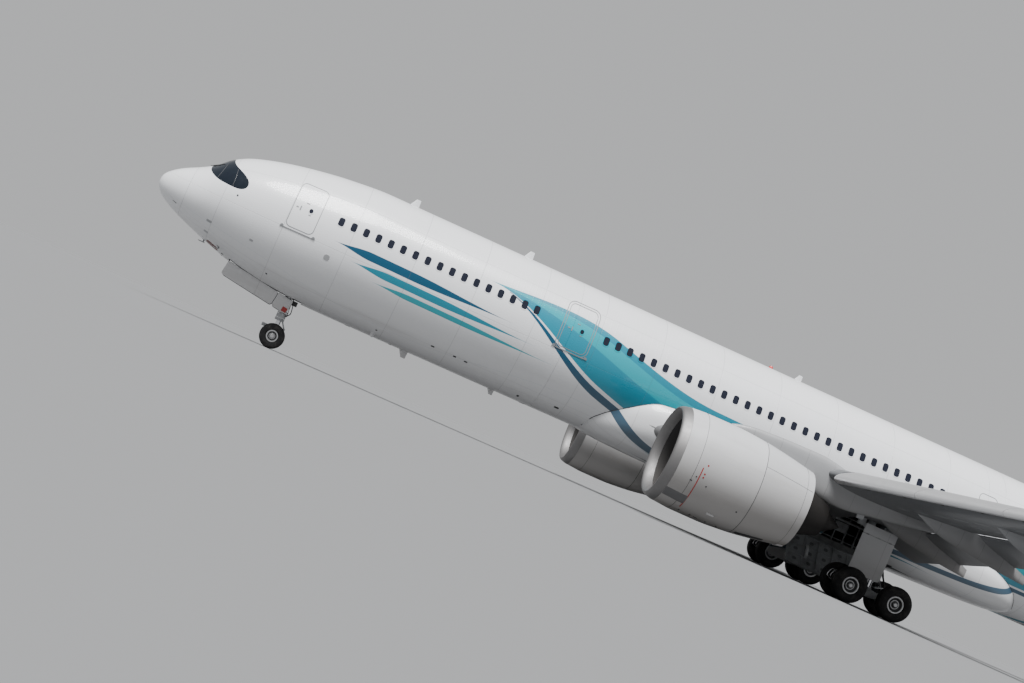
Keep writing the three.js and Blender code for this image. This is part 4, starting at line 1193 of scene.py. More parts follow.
# Wings

# span station, leading edge, trailing edge, height, cant in degrees, thickness over chord
WING = [
    (2.6, 21.4, 33.72, -1.72, 0, 0.118),
    (4.2, 24.06, 33.79, -1.5, 0, 0.14),
    (9.6, 27.3, 34.0, -0.82, 0, 0.12),
    (30.0, 39.54, 42.1, 1.9, 8, 0.105),
    (30.75, 40.1, 42.36, 2.07, 34, 0.1),
    (31.35, 40.75, 42.66, 2.5, 60, 0.1),
    (31.72, 41.6, 43.0, 3.3, 74, 0.095),
    (31.93, 42.7, 43.36, 4.35, 80, 0.09),
]
wing_rows = straight_rows(WING)
SLAT_INNER = (4.3, 8.05)
SLAT_OUTER = (10.15, 28.6)
FLAP_INNER = (3.45, 9.5)
FLAP_OUTER = (9.7, 20.3)
SPOILERS = (10.1, 20.1)
# Share of the wing's chord, depth of the panel there in metres
SPOILER_DEPTHS = [(0.712, 0.08), (0.79, 0.05), (0.865, 0.015)]
JACK_PAD = (6.45, 6.75, 30.0, 30.3, -1.78, -1.4)
AILERON = (20.7, 27.6)
AILERON_HINGE = 0.745
AILERON_END_GAP = 0.06
MOVING_CLEAR = 0.014  # between a moving surface's nose and the wall ahead of it
# How far the turned nose of a moving surface reaches forward, in half thicknesses
AILERON_NOSE_SWING = 0.62
TAIL_NOSE_SWING = 0.72
# Radius of the round tube along each hinge, in half thicknesses, and how far it stops inside the ends
AILERON_TUBE = 0.5
TAIL_TUBE = 0.6
TUBE_INSET = 0.06


def half_thickness(x):
    return 5 * (0.2969 * math.sqrt(x) - 0.126 * x - 0.3516 * x**2 + 0.2843 * x**3 - 0.1036 * x**4)


def camber(x):
    return 0.012 * (1 - (2 * x - 1) ** 2)


class Section:
    """The wing's section at one span station."""

    def __init__(self, span):
        self.span = span
        self.leading, self.trailing, self.height, self.cant, self.thickness = wing_rows(span)
        self.chord = self.trailing - self.leading

    def skin(self, x, side):
        return self.height + self.chord * (camber(x) + side * self.thickness * half_thickness(x))

    def point(self, x, rise):
        lean = math.radians(self.cant)
        return (
            self.span - rise * math.sin(lean),
            self.leading + x * self.chord,
            self.height + rise * math.cos(lean),
        )


def cosine_spaced(start, end, count):
    return [start + (end - start) * 0.5 * (1 - math.cos(math.pi * k / (count - 1))) for k in range(count)]


NOSE_POINTS = 9
SKIN_POINTS = 18
COVE_POINTS = 4
# The fixed wing behind a slat, as shares of the chord: its upper edge, the front of its face, its lower edge,
# how far its face is below the skin, and the step at both edges
SLAT_RECESS = {"top": 0.135, "nearest": 0.036, "low": 0.03, "sunk": 0.012, "step": 0.004}
# How far the wing's rear face lies below the upper skin, at its lower and upper edge, in metres
COVE_SINK = (0.13, 0.07)


def fixed_outline(section, nose, tail):
    """The fixed wing's outline as (share of chord, rise in metres).

    It runs round the nose, aft below, up the tail and forward above."""
    chord = section.chord
    rise = lambda x, side: section.skin(x, side) - section.height
    if nose == "clean":
        front = [(x, rise(x, 1)) for x in cosine_spaced(0.1, 0, NOSE_POINTS)[:-1]]
        front += [(x, rise(x, -1)) for x in cosine_spaced(0, 0.03, NOSE_POINTS)]
        top_start, low_start = 0.1, 0.03
    else:
        top, nearest, low = (SLAT_RECESS[key] for key in ("top", "nearest", "low"))
        sunk, step = SLAT_RECESS["sunk"] * chord, SLAT_RECESS["step"] * chord
        front = [(top, rise(top, 1) - step)]
        for k in range(1, NOSE_POINTS):
            x = top - (top - nearest) * math.sin(math.pi / 2 * k / (NOSE_POINTS - 1))
            front.append((x, rise(x, 1) - sunk * (1 + 0.6 * k / NOSE_POINTS)))
        start, end = front[-1][1], rise(low, -1) + step
        for k in range(1, NOSE_POINTS):
            share = k / (NOSE_POINTS - 1)
            front.append((nearest + (low - nearest) * share, start * (1 - share) + end * share))
        top_start, low_start = top + 0.002, low + 0.001
    if tail == "clean":
        low_end, top_end = 0.999, 0.999
        back = [(1.0, 0.0)] * COVE_POINTS
    elif tail == "inner":
        low_end, top_end = 1 - 1.42 / chord, 1 - 0.72 / chord
        back = cove_points(section, low_end, top_end)
    elif tail == "outer":
        low_end, top_end = 0.7, 0.702
        back = cove_points(section, low_end, top_end)
    else:
        reach = AILERON_NOSE_SWING * section.thickness * half_thickness(AILERON_HINGE)
        wall = AILERON_HINGE - reach - MOVING_CLEAR / chord
        low_end, top_end = wall, wall
        back = [(wall, rise(wall, -1) + (rise(wall, 1) - rise(wall, -1)) * k / 3) for k in range(COVE_POINTS)]
    lower = [(x, rise(x, -1)) for x in np.linspace(low_start, low_end, SKIN_POINTS)]
    upper = [(x, rise(x, 1)) for x in np.linspace(top_end, top_start, SKIN_POINTS)]
    return front + lower + back + upper


def cove_points(section, low_end, top_end):
    """The wing's hollow rear face ahead of a flap."""
    top = lambda x: section.skin(x, 1) - section.height
    low = section.skin(low_end, -1) - section.height
    front_top = max(top(low_end) - COVE_SINK[0], low + 0.02)
    return [
        (low_end, low * 0.5 + front_top * 0.5),
        (low_end, front_top),
        (top_end, top(top_end) - COVE_SINK[1]),
        (top_end, top(top_end) - COVE_SINK[1] * 0.5),
    ]


# Where the fixed wing changes: from, to, nose, tail
WING_ZONES = [
    (2.6, 3.4, "clean", "clean"),
    (3.4, 4.27, "clean", "inner"),
    (4.27, 8.08, "slat", "inner"),
    (8.08, 9.55, "clean", "inner"),
    (9.65, 10.12, "clean", "outer"),
    (10.12, 20.35, "slat", "outer"),
    (20.35, AILERON[0] - AILERON_END_GAP, "slat", "clean"),
    (AILERON[0] - AILERON_END_GAP, AILERON[1] + AILERON_END_GAP, "slat", "aileron"),
    (AILERON[1] + AILERON_END_GAP, 28.63, "slat", "clean"),
    (28.63, 30.0, "clean", "clean"),
]


def wing_part():
    rings = []
    for start, end, nose, tail in WING_ZONES:
        for span in spaced(start + 0.001, end - 0.001, 0.7):
            section = Section(span)
            rings.append([section.point(x, rise) for x, rise in fixed_outline(section, nose, tail)])
    tips = smooth_rows([row for row in WING if row[0] >= 9])
    for span in cosine_spaced(30.05, WING[-1][0], 18):
        section = Section(span)
        section.leading, section.trailing, section.height, section.cant, section.thickness = tips(span)
        section.chord = section.trailing - section.leading
        rings.append([section.point(x, rise) for x, rise in fixed_outline(section, "clean", "clean")])
    return loft(rings)


# A slat's sizes as shares of the wing's chord, and an angle
SLAT = {"chord": 0.13, "turn": 0.2, "forward": 0.045, "down": 0.006}
# The slat's upper back: place, place whose skin it follows, depth below that skin
SLAT_BACK = [(0.04, 0.045, 0.012), (0.07, 0.07, 0.007), (0.1, 0.1, 0.003)]
PANEL_GAP = 0.012  # left at each end of a slat's or spoiler's panel


def slat_part(ends):
    """A slat, turned nose down about its upper rear edge and moved forward."""
    c, sn = math.cos(SLAT["turn"]), math.sin(SLAT["turn"])
    rings = []
    for span in spaced(*ends, 1.5):
        w = Section(span)
        rise = lambda x, side: (w.skin(x, side) - w.height) / w.chord
        outline = [(x, rise(x, 1)) for x in cosine_spaced(SLAT["chord"], 0, 12)]
        outline += [(x, rise(x, -1)) for x in cosine_spaced(0, 0.028, 6)[1:]]
        outline += [(0.03, rise(0.028, -1) + 0.008), (0.024, 0.002), (0.027, 0.014)]
        outline += [(x, rise(at, 1) - thin) for x, at, thin in SLAT_BACK]
        pivot = (SLAT["chord"], rise(SLAT["chord"], 1))
        ring = []
        for x, z in outline:
            dx, dz = x - pivot[0], z - pivot[1]
            aft = pivot[0] + dx * c - dz * sn - SLAT["forward"]
            up = pivot[1] + dx * sn + dz * c - SLAT["down"]
            ring.append((span, w.leading + aft * w.chord, w.height + up * w.chord))
        rings.append(ring)
    return loft(rings)


FLAP_DROOP = math.radians(17)


def flap_place(w, which):
    if which == "inner":
        return w.trailing - 1.33, 1.9, 0.2
    return w.leading + 0.752 * w.chord, 0.29 * w.chord, 0.02 * w.chord


def flap_part(ends, which):
    rings = []
    for span in spaced(*ends, 1.2):
        w = Section(span)
        nose, chord, drop = flap_place(w, which)
        upper = [(x, camber(x) + 0.13 * half_thickness(x)) for x in cosine_spaced(1, 0, 14)]
        lower = [(x, camber(x) - 0.13 * half_thickness(x)) for x in cosine_spaced(0, 1, 14)[1:-1]]
        ring = []
        for x, z in upper + lower:
            aft = nose + chord * (x * math.cos(FLAP_DROOP) + z * math.sin(FLAP_DROOP))
            up = w.height - drop + chord * (z * math.cos(FLAP_DROOP) - x * math.sin(FLAP_DROOP))
            ring.append((span, aft, up))
        rings.append(ring)
    return loft(rings)


# span station, nose, knee, tail, half width
TRACK_FAIRINGS = [
    (7.2, 30.6, 32.5, 34.75, 0.27),
    (10.9, 30.6, 32.6, 35.35, 0.25),
    (14.4, 32.0, 33.9, 36.4, 0.23),
    (17.9, 33.9, 35.6, 37.75, 0.21),
]


def track_fairing_part(span, nose, knee, tail, half):
    w = Section(span)
    under = lambda s: w.skin(min(1, (s - w.leading) / w.chord), -1)
    rows = smooth_rows(
        [
            (nose, under(nose) + 0.05, under(nose) - 0.01, 0.02),
            ((nose + knee) / 2, under((nose + knee) / 2) + 0.1, under(nose) - 0.4, half * 0.8),
            (knee, under(knee) + 0.1, under(nose) - 0.56, half),
            ((knee + tail) / 2, under(knee) - 0.24, under(nose) - 0.72, half * 0.8),
            (tail, under(knee) - 0.66, under(nose) - 0.82, 0.04),
        ]
    )
    rings = []
    for station in cosine_spaced(nose, tail, 30):
        top, bottom, wide = rows(station)
        ring = [(span + wide, station, top), (span - wide, station, top)]
        for k in range(13):
            turn = math.pi * k / 12
            level = top + (bottom - top) * (0.45 + 0.55 * math.sin(turn))
            ring.append((span - wide * math.cos(turn), station, level))
        rings.append(ring)
    return loft(rings)


def hinged_outline(hinge, half, steps=8):
    """A blunt nose at the hinge, tapered to the rear edge: (share of chord, share of chord)."""
    outline = [(hinge, half), (1, 0.0015), (1, -0.0015), (hinge, -half)]
    for k in range(1, steps):
        turn = math.pi * k / steps
        outline.append((hinge - 0.3 * half * math.sin(turn), -half * math.cos(turn)))
    return outline


def hinge_tube(start, end, sides=24):
    """A tapered tube along a hinge, which shuts the gap ahead of it at any angle. Each end: point, radius."""
    (a, _), (b, _) = start, end
    along = np.subtract(b, a) / np.linalg.norm(np.subtract(b, a))
    across = np.cross(along, (0, 1, 0))
    across /= np.linalg.norm(across)
    above = np.cross(along, across)
    turns = 2 * math.pi * np.arange(sides) / sides
    ring = lambda at, radius: [at + radius * (math.cos(t) * across + math.sin(t) * above) for t in turns]
    return loft([ring(*start), ring(*end)])


def aileron_parts():
    rings = []
    for span in spaced(*AILERON, 1.2):
        w = Section(span)
        outline = hinged_outline(AILERON_HINGE, w.thickness * half_thickness(AILERON_HINGE))
        risen = [(x, z + camber(x)) for x, z in outline]
        rings.append([(span, w.leading + x * w.chord, w.height + z * w.chord) for x, z in risen])
    tube_ends = []
    for span in (AILERON[0] + TUBE_INSET, AILERON[1] - TUBE_INSET):
        w = Section(span)
        at = (span, w.leading + AILERON_HINGE * w.chord, w.height + camber(AILERON_HINGE) * w.chord)
        tube_ends.append((at, AILERON_TUBE * w.thickness * half_thickness(AILERON_HINGE) * w.chord))
    return [loft(rings), hinge_tube(*tube_ends)]


def spoiler_parts():
    """A row of panels flush with the wing's upper skin."""
    parts = []
    edges = np.linspace(*SPOILERS, 6)
    places, depths = zip(*SPOILER_DEPTHS)
    xs = np.linspace(places[0], places[-1], 7)
    depth = np.interp(xs, places, depths)
    for start, end in zip(edges[:-1], edges[1:]):
        rings = []
        for span in spaced(start + PANEL_GAP, end - PANEL_GAP, 1.0):
            w = Section(span)
            ring = [(span, w.leading + x * w.chord, w.skin(x, 1)) for x in xs]
            ring += [(span, w.leading + x * w.chord, w.skin(x, 1) - d) for x, d in zip(xs[::-1], depth[::-1])]
            rings.append(ring)
        parts.append(loft(rings))
    return parts


def make_wings():
    slot = box(2.0, LEG_SLOT["outer"], LEG_SLOT["front"], LEG_SLOT["aft"], BELOW, LEG_SLOT["roof"])
    add_both("wing_skin_SIDE", [wing_part()], "wing", replaces=["wing_SIDE"], angle=38, cutters=[slot])
    add_both("wing_jack_pad_SIDE", [box(*JACK_PAD)], "steel")
    add_both("flap_track_fairings_SIDE", [track_fairing_part(*row) for row in TRACK_FAIRINGS], "fairing")
    for which, ends, count in (("inner", SLAT_INNER, 1), ("outer", SLAT_OUTER, 6)):
        edges = np.linspace(*ends, count + 1)
        parts = [slat_part((a + PANEL_GAP, b - PANEL_GAP)) for a, b in zip(edges[:-1], edges[1:])]
        name = f"slat_{which}_SIDE"
        add_both(name + "_skin", parts, "slat", replaces=[name])
    for which, ends in (("inner", FLAP_INNER), ("outer", FLAP_OUTER)):
        name = f"flap_{which}_SIDE"
        add_both(name + "_skin", [flap_part(ends, which)], "control", replaces=[name])
    for name, parts in (("aileron_SIDE", aileron_parts()), ("spoilers_SIDE", spoiler_parts())):
        add_both(name + "_skin", parts, "control", name, [name])


def under_wing(span, x, lift):
    """A point below the wing's lower skin at a share x of the chord."""
    w = Section(span)
    return (span, w.leading + x * w.chord, w.skin(x, -1) - lift)


def wing_plate(span, x, wide, high, lift=0.006, corner=0.45):
    """A plate under the wing: wide along the span and high along the chord, in metres."""
    chord = Section(span).chord
    at = lambda a, b, up: under_wing(span + a, x + b / chord, up)
    return plate_on(at, dense(rounded(wide, high, corner * min(wide, high), 5), 0.15), lift)


# Rows of access covers under each wing: share of the chord, first span, last span, count
COVER_ROWS = [(0.34, 10.6, 28.4, 24), (0.5, 10.9, 26.0, 18), (0.3, 5.2, 8.4, 4), (0.5, 4.9, 6.9, 3)]
WICK = {"length": 0.26, "radius": 0.008}


def wick(point):
    x, y, z = point
    route = [(x, y - 0.03, z), (x, y + WICK["length"], z - 0.01)]
    return tube(route, [WICK["radius"], WICK["radius"] * 0.6], 6)


def rear_edge(span):
    w = Section(span)
    return (span, w.trailing, w.height)


def tip_lamp():
    """A prism along the front of the wing's tip."""
    tip = Section(30.0)
    corners = ((0, 0.03), (0.18, 0.05), (0.18, -0.03), (0, -0.03))
    ends = (tip.leading + 0.02, tip.leading + 0.32)
    return loft([[(tip.span + 0.02 + dx, end, tip.height + dz) for dx, dz in corners] for end in ends])


def landing_lamp(span):
    w = Section(span)
    lens = [(-0.05, 0.0), (-0.05, 0.1), (0.0, 0.13), (0.08, 0.13), (0.08, 0.0)]
    return turned(lens, (span, w.leading + 0.02, w.height), "y", 24)


def make_wing_fittings():
    covers = []
    for x, first, last, count in COVER_ROWS:
        covers += [wing_plate(span, x, 0.46, 0.3) for span in np.linspace(first, last, count)]
    darks = [wing_plate(span, 0.055, 0.1, 0.26, 0.01, 0.3) for span in np.linspace(10.9, 27.8, 13)]
    darks += [wing_plate(27.2, 0.4, 0.34, 0.2, 0.01), wing_plate(9.0, 0.62, 0.2, 0.12, 0.01)]
    add_both("wing_access_covers_SIDE", covers, "control")
    add_both("wing_slots_SIDE", darks, "seam")
    add_both("landing_lamps_SIDE", [landing_lamp(span) for span in (3.55, 3.9)], "lamp")
    for word, tone in (("left", "red_lamp"), ("right", "green_lamp")):
        add("wing_tip_lamp_" + word, [mirror(tip_lamp(), SIDES[word])], tone)
    tail_edge = lambda span: tailplane_point(span, 1.0, 0)
    for name, body, edge, spans in (
        ("wing_wicks_SIDE", "airframe", rear_edge, (28.2, 28.9, 29.5)),
        ("aileron_wicks_SIDE", "aileron_SIDE", rear_edge, (22.6, 24.6, 26.6)),
        ("elevator_wicks_SIDE", "elevator_SIDE", tail_edge, (6.4, 7.6, 8.8)),
    ):
        add_both(name, [wick(edge(span)) for span in spans], "pipe", body)
    add("rudder_wicks", [wick(fin_point(height, 1.0, 0)) for height in (8.4, 9.6, 10.8)], "pipe", "rudder")


# Tail

TAILPLANE_ENDS = (0.8, 9.72)
# span station, leading edge, trailing edge, height, thickness over chord
TAILPLANE = straight_rows(
    [(TAILPLANE_ENDS[0], 54.9, 61.0, 1.08, 0.11), (TAILPLANE_ENDS[1], 60.75, 63.2, 2.0, 0.09)]
)
FIN_ENDS = (2.1, 16.79 - CENTRE_HEIGHT)
# height, leading edge, trailing edge, thickness over chord
FIN = straight_rows([(FIN_ENDS[0], 51.3, 60.2, 0.11), (FIN_ENDS[1], 60.55, LENGTH, 0.09)])
ELEVATOR = {"hinge": 0.7, "from": 1.9, "to": 9.35, "end_gap": 0.06}
RUDDER = {"hinge": 0.7, "from": 3.05, "to": 11.5, "end_gap": 0.1}


def tailplane_point(span, x, z):
    leading, trailing, height, _ = TAILPLANE(span)
    chord = trailing - leading
    return (span, leading + x * chord, height + z * chord)


def fin_point(height, x, z):
    leading, trailing, _ = FIN(height)
    chord = trailing - leading
    return (z * chord, leading + x * chord, height)


def tail_parts(surface, point, rows, ends):
    """The fixed part, whose rear is cut short along the hinge, and the moving part."""
    thickness = lambda at: rows(at)[-1]
    chord = lambda at: rows(at)[1] - rows(at)[0]
    fixed = []
    edges = [ends[0], surface["from"] - surface["end_gap"], surface["to"] + surface["end_gap"], ends[1]]
    for zone, (start, end) in enumerate(zip(edges[:-1], edges[1:])):
        for at in spaced(start + 0.002, end - 0.002, 0.8):
            thin = thickness(at)
            stop = 1.0
            if zone == 1:
                nose = TAIL_NOSE_SWING * thin * half_thickness(surface["hinge"])
                stop = surface["hinge"] - nose - MOVING_CLEAR / chord(at)
            xs = [x * stop for x in cosine_spaced(0, 1, 22)]
            ring = [point(at, x, thin * half_thickness(x)) for x in xs]
            ring += [point(at, x, -thin * half_thickness(x)) for x in reversed(xs[1:])]
            fixed.append(ring)
    moving = []
    for at in spaced(surface["from"], surface["to"], 0.8):
        half = thickness(at) * half_thickness(surface["hinge"])
        moving.append([point(at, x, z) for x, z in hinged_outline(surface["hinge"], half)])
    tube_ends = []
    for at in (surface["from"] + TUBE_INSET, surface["to"] - TUBE_INSET):
        radius = TAIL_TUBE * thickness(at) * half_thickness(surface["hinge"]) * chord(at)
        tube_ends.append((point(at, surface["hinge"], 0), radius))
    return loft(fixed), [loft(moving), hinge_tube(*tube_ends)]


def make_tail():
    fixed, moving = tail_parts(ELEVATOR, tailplane_point, TAILPLANE, TAILPLANE_ENDS)
    add_both("tailplane_SIDE_skin", [fixed], "white", replaces=["tailplane_SIDE"])
    add_both("elevator_SIDE_skin", moving, "control", "elevator_SIDE", ["elevator_SIDE"], "white_paint")
    fixed, moving = tail_parts(RUDDER, fin_point, FIN, FIN_ENDS)
    add("fin_skin", [fixed], "tail", replaces=["fin"])
    add("rudder_skin", moving, "tail", "rudder", ["rudder"])


# Engines

ENGINE_OUT = 9.37
ENGINE_AXIS = -2.52
ENGINE_SIDES = 128
LIP_END = 0.36
# station aft of the lip, radius
LIP_OUTSIDE = [(0, 1.66), (0.05, 1.73), (0.17, 1.78), (LIP_END, 1.825)]
LIP_INSIDE = [(0, 1.66), (0.04, 1.6), (0.16, 1.53), (LIP_END, 1.47)]
COWL_OUTSIDE = [(LIP_END, 1.825), (1.2, 1.88), (2.2, 1.885), (3.3, 1.82), (4.5, 1.66), (5.5, 1.485)]
COWL_INSIDE = [(LIP_END, 1.47), (1.0, 1.44), (2.0, 1.45), (3.0, 1.56), (4.4, 1.5), (5.5, 1.455)]
CORE = [(1.82, 0.5), (2.6, 0.8), (4.0, 1.12), (5.2, 1.02), (6.55, 0.64)]
PLUG = [(6.3, 0.48), (6.55, 0.46), (7.0, 0.22), (7.3, 0.03)]
SPINNER = [(0.98, 0.0), (1.02, 0.08), (1.16, 0.22), (1.36, 0.36), (1.56, 0.44), (1.74, 0.455)]
BLADES = 20
BLADE_MIDDLE = 1.52
GUIDE_VANES = 36
# Struts through the duct, from the engine's centre: from and to outward, aft and up
ENGINE_STRUTS = [(-0.07, 0.07, 2.9, 5.1, 0.9, 1.5), (-0.06, 0.06, 2.9, 5.0, -1.5, -0.9)]
SEAM_LIFT = 0.004
FAN_SEAM = 0.98
# Seams round the cowl: along, width
NACELLE_RINGS = [(FAN_SEAM, 0.012), (COWL_SEAM, 0.02), (5.2, 0.01)]
# Seams along the cowl: from, to, turn, width
NACELLE_LINES = [
    (FAN_SEAM, 5.45, -90, 0.014),
    (FAN_SEAM, COWL_SEAM, 82, 0.012),
    (FAN_SEAM, COWL_SEAM, 98, 0.012),
    (COWL_SEAM, 5.45, 30, 0.01),
]
# Corners of the strake: along, turn, lift
STRAKE = [(1.3, 138, -0.02), (2.7, 134, -0.02), (2.75, 134, 0.4), (2.3, 135, 0.42)]
# radius, half chord, pitch in degrees, half thickness, sweep aft
BLADE = [
    (0.42, 0.15, 35, 0.02, 0.0),
    (0.7, 0.2, 45, 0.016, -0.03),
    (1.0, 0.245, 54, 0.012, -0.02),
    (1.25, 0.26, 60, 0.008, 0.02),
    (1.38, 0.25, 63, 0.006, 0.05),
]
# Small openings on the cowl: along, turn, wide along it, high round it
NACELLE_VENTS = [
    (1.3, -70, 0.05, 0.12),
    (1.75, -71, 0.06, 0.12),
    (1.98, -72, 0.16, 0.05),
    (2.4, -73, 0.06, 0.12),
    (2.85, -74, 0.05, 0.1),
    (1.0, -20, 0.1, 0.04),
    (1.12, -14, 0.05, 0.05),
    (1.6, -20, 0.05, 0.06),
    (3.05, -34, 0.06, 0.06),
    (4.1, -72, 1.1, 0.22),
]


def smooth_profile(rows, count):
    at = smooth_rows(rows)
    return [(x, float(at(x)[0])) for x in np.linspace(rows[0][0], rows[-1][0], count)]


def lip_profile():
    outside = smooth_rows([(math.sqrt(a), r) for a, r in LIP_OUTSIDE])
    inside = smooth_rows([(math.sqrt(a), r) for a, r in LIP_INSIDE])
    roots = np.linspace(0, math.sqrt(LIP_END - 0.002), 16)
    profile = [(q * q, float(inside(q)[0])) for q in roots[::-1]]
    return profile + [(q * q, float(outside(q)[0])) for q in roots[1:]]


def blade_part(turn):
    at = smooth_rows(BLADE)
    rings = []
    for radius in np.linspace(BLADE[0][0], BLADE[-1][0], 12):
        half, pitch, thin, sweep = at(radius)
        c, s = math.cos(math.radians(pitch)), math.sin(math.radians(pitch))
        ring = []
        for k in range(12):
            angle = 2 * math.pi * k / 12
            along = half * math.cos(angle)
            across = thin * math.sin(angle) + 0.1 * half * (1 - math.cos(angle) ** 2)
            ring.append((along * s + across * c, BLADE_MIDDLE + sweep + along * c - across * s, radius))
        rings.append(ring)
    return turned_about_y(loft(rings), turn)


def turned_about_y(part, turn):
    """The part turned about the engine's axis; turn 0 leaves it upright."""
    points, faces = part
    x, y, z = np.asarray(points, float).T
    c, s = math.cos(turn), math.sin(turn)
    return np.column_stack([x * c + z * s, y, z * c - x * s]), faces


def shifted(part, offset):
    points, faces = part
    return np.asarray(points, float).reshape(-1, 3) + offset, faces


# station, half width, top, bottom
PYLON = [
    (22.9, 0.03, -1.02, -1.2),
    (23.3, 0.12, -0.62, -1.3),
    (24.2, 0.22, -0.4, -1.4),
    (25.6, 0.28, -0.32, -1.5),
    (26.9, 0.3, -0.3, -1.78),
    (28.2, 0.3, -0.5, -1.86),
    (29.6, 0.28, -0.7, -1.68),
    (31.0, 0.2, -0.8, -1.46),
    (32.2, 0.05, -0.9, -1.24),
]


def pylon_part():
    rows = smooth_rows(PYLON)
    rings = []
    for station in cosine_spaced(PYLON[0][0], PYLON[-1][0], 44):
        half, top, bottom = rows(station)
        centre = (ENGINE_OUT, station, (top + bottom) / 2)
        rings.append(cross_ring(centre, half, (top - bottom) / 2, 32, 3.2))
    return loft(rings)


def nacelle_radius(along):
    return float(smooth_rows(COWL_OUTSIDE)(along)[0])


def on_nacelle(along, turn, lift=0.0):
    """A point on the cowl; turn is in degrees, 0 outboard and 90 up."""
    radius = nacelle_radius(along) + lift
    c, s = math.cos(math.radians(turn)), math.sin(math.radians(turn))
    return (ENGINE_OUT + radius * c, INLET + along, ENGINE_AXIS + radius * s)


def nacelle_plate(along, turn, wide, high, lift, radius=0.03):
    """A small plate on the cowl: wide along the engine, high round it, in metres."""
    base = nacelle_radius(along)
    at = lambda a, b, up: on_nacelle(along + a, turn + math.degrees(b / base), up)
    return plate_on(at, dense(rounded(wide, high, radius, 3), 0.1), lift)


def nacelle_band(along, wide, lift, start=0, end=360):
    """A raised band round the cowl."""
    steps = max(8, int(abs(end - start) / 3))
    closed = end - start >= 360
    turns = np.linspace(start, end, steps, endpoint=not closed)
    low, high = along - wide / 2, along + wide / 2
    corners = ((low, -PLATE_DEPTH), (low, lift), (high, lift), (high, -PLATE_DEPTH))
    return loft([[on_nacelle(at, turn, up) for at, up in corners] for turn in turns], closed)


def nacelle_line(start, end, turn, wide, lift):
    """A raised strip along the cowl."""
    rings = []
    for along in spaced(start, end, 0.2):
        shift = math.degrees(wide / 2 / nacelle_radius(along))
        low, high = turn - shift, turn + shift
        corners = ((low, -PLATE_DEPTH), (low, lift), (high, lift), (high, -PLATE_DEPTH))
        rings.append([on_nacelle(along, at, up) for at, up in corners])
    return loft(rings)


def make_engines():
    centre = (ENGINE_OUT, INLET, ENGINE_AXIS)
    at_engine = lambda parts: [shifted(one, centre) for one in parts]
    round_part = lambda profile, sides=ENGINE_SIDES: turned(profile, centre, "y", sides)
    outside = smooth_profile([(LIP_END + JOINT_GAP, COWL_OUTSIDE[0][1]), *COWL_OUTSIDE[1:]], 40)
    inside = smooth_profile([(LIP_END + JOINT_GAP, COWL_INSIDE[0][1]), *COWL_INSIDE[1:]], 30)
    lining = [(a, r - 0.004) for a, r in inside[::-1]] + [(a, r + 0.02) for a, r in inside]
    core = [(1.82, 0.0), *smooth_profile(CORE, 30), (6.5, 0.56), (6.2, 0.5), (6.2, 0.0)]
    plug = [(6.1, 0.0), *smooth_profile(PLUG, 14), (7.3, 0.0)]
    spinner = [*smooth_profile(SPINNER, 18), (1.76, 0.4), (1.76, 0.0)]
    core_parts = [round_part(core, 96), round_part(plug, 64)]
    core_parts += at_engine([box(*row) for row in ENGINE_STRUTS] + guide_vanes())
    blades = at_engine([blade_part(2 * math.pi * k / BLADES) for k in range(BLADES)])
    add_both("inlet_lip_SIDE_skin", [round_part(lip_profile())], "lip", replaces=["inlet_lip_SIDE"])
    cowl = round_part(inside[::-1] + outside)
    add_both("engine_cowl_SIDE_skin", [cowl], "nacelle", replaces=["engine_cowl_SIDE"])
    add_both("inlet_liner_SIDE", [round_part(lining)], "duct")
    add_both("engine_core_SIDE_skin", core_parts, "burnt", replaces=["engine_core_SIDE"])
    add_both("fan_SIDE_skin", [round_part(spinner, 64), *blades], "fan", "fan_SIDE", ["fan_SIDE"])
    add_both("pylon_SIDE_skin", [pylon_part()], "pylon", replaces=["pylon_SIDE"])
    make_nacelle_trim()


def make_nacelle_trim():
    seams = [nacelle_band(*row, SEAM_LIFT) for row in NACELLE_RINGS]
    seams += [nacelle_line(*row, SEAM_LIFT) for row in NACELLE_LINES]
    reds = [nacelle_band(1.22, 0.036, 0.005, -62, -2)]
    reds += [nacelle_plate(1.36, turn, 0.06, 0.06, 0.005, 0.02) for turn in (-8, -12, 2)]
    blisters = [nacelle_plate(2.3, -52, 0.3, 0.08, 0.03), nacelle_plate(5.36, -84, 0.26, 0.5, 0.03, 0.05)]
    corners = np.array([on_nacelle(*row) for row in STRAKE])
    add_both("nacelle_seams_SIDE", seams, "seam")
    add_both("nacelle_grey_panels_SIDE", [nacelle_plate(0.8, -47, 0.86, 0.44, 0.006)], "dull")
    add_both("nacelle_vents_SIDE", [nacelle_plate(*row, 0.008, 0.02) for row in NACELLE_VENTS], "seam")
    add_both("nacelle_red_line_SIDE", reds, "red")
    add_both("nacelle_blades_SIDE", blisters, "white")
    add_both("nacelle_strake_SIDE", [loft([corners + (0, 0, dz) for dz in (-0.012, 0.012)])], "white")


def guide_vanes():
    vane = box(-0.012, 0.012, 2.2, 2.55, 0.6, 1.44)
    return [turned_about_y(vane, 2 * math.pi * k / GUIDE_VANES) for k in range(GUIDE_VANES)]


# Landing gear

FLOOR = -CENTRE_HEIGHT
NOSE_GEAR = 6.67
MAIN_GEAR = 32.05
MAIN_OUT = 5.34
BOGIE_BASE = 1.98
NOSE_TYRE = {"radius": 0.525, "width": 0.395, "out": 0.36, "rim": 0.24}
MAIN_TYRE = {"radius": 0.7, "width": 0.53, "out": 0.7, "rim": 0.33}
NOSE_AXLE = FLOOR + NOSE_TYRE["radius"]
MAIN_AXLE = FLOOR + MAIN_TYRE["radius"]
# Side wall of a tyre: share of the half width, share of the way from the rim to the tread
TYRE_WALL = [(-0.62, 0.0), (-0.86, 0.1), (-0.98, 0.34), (-1.0, 0.55)]
TYRE_WALL += [(-0.94, 0.78), (-0.8, 0.93), (-0.64, 0.985)]
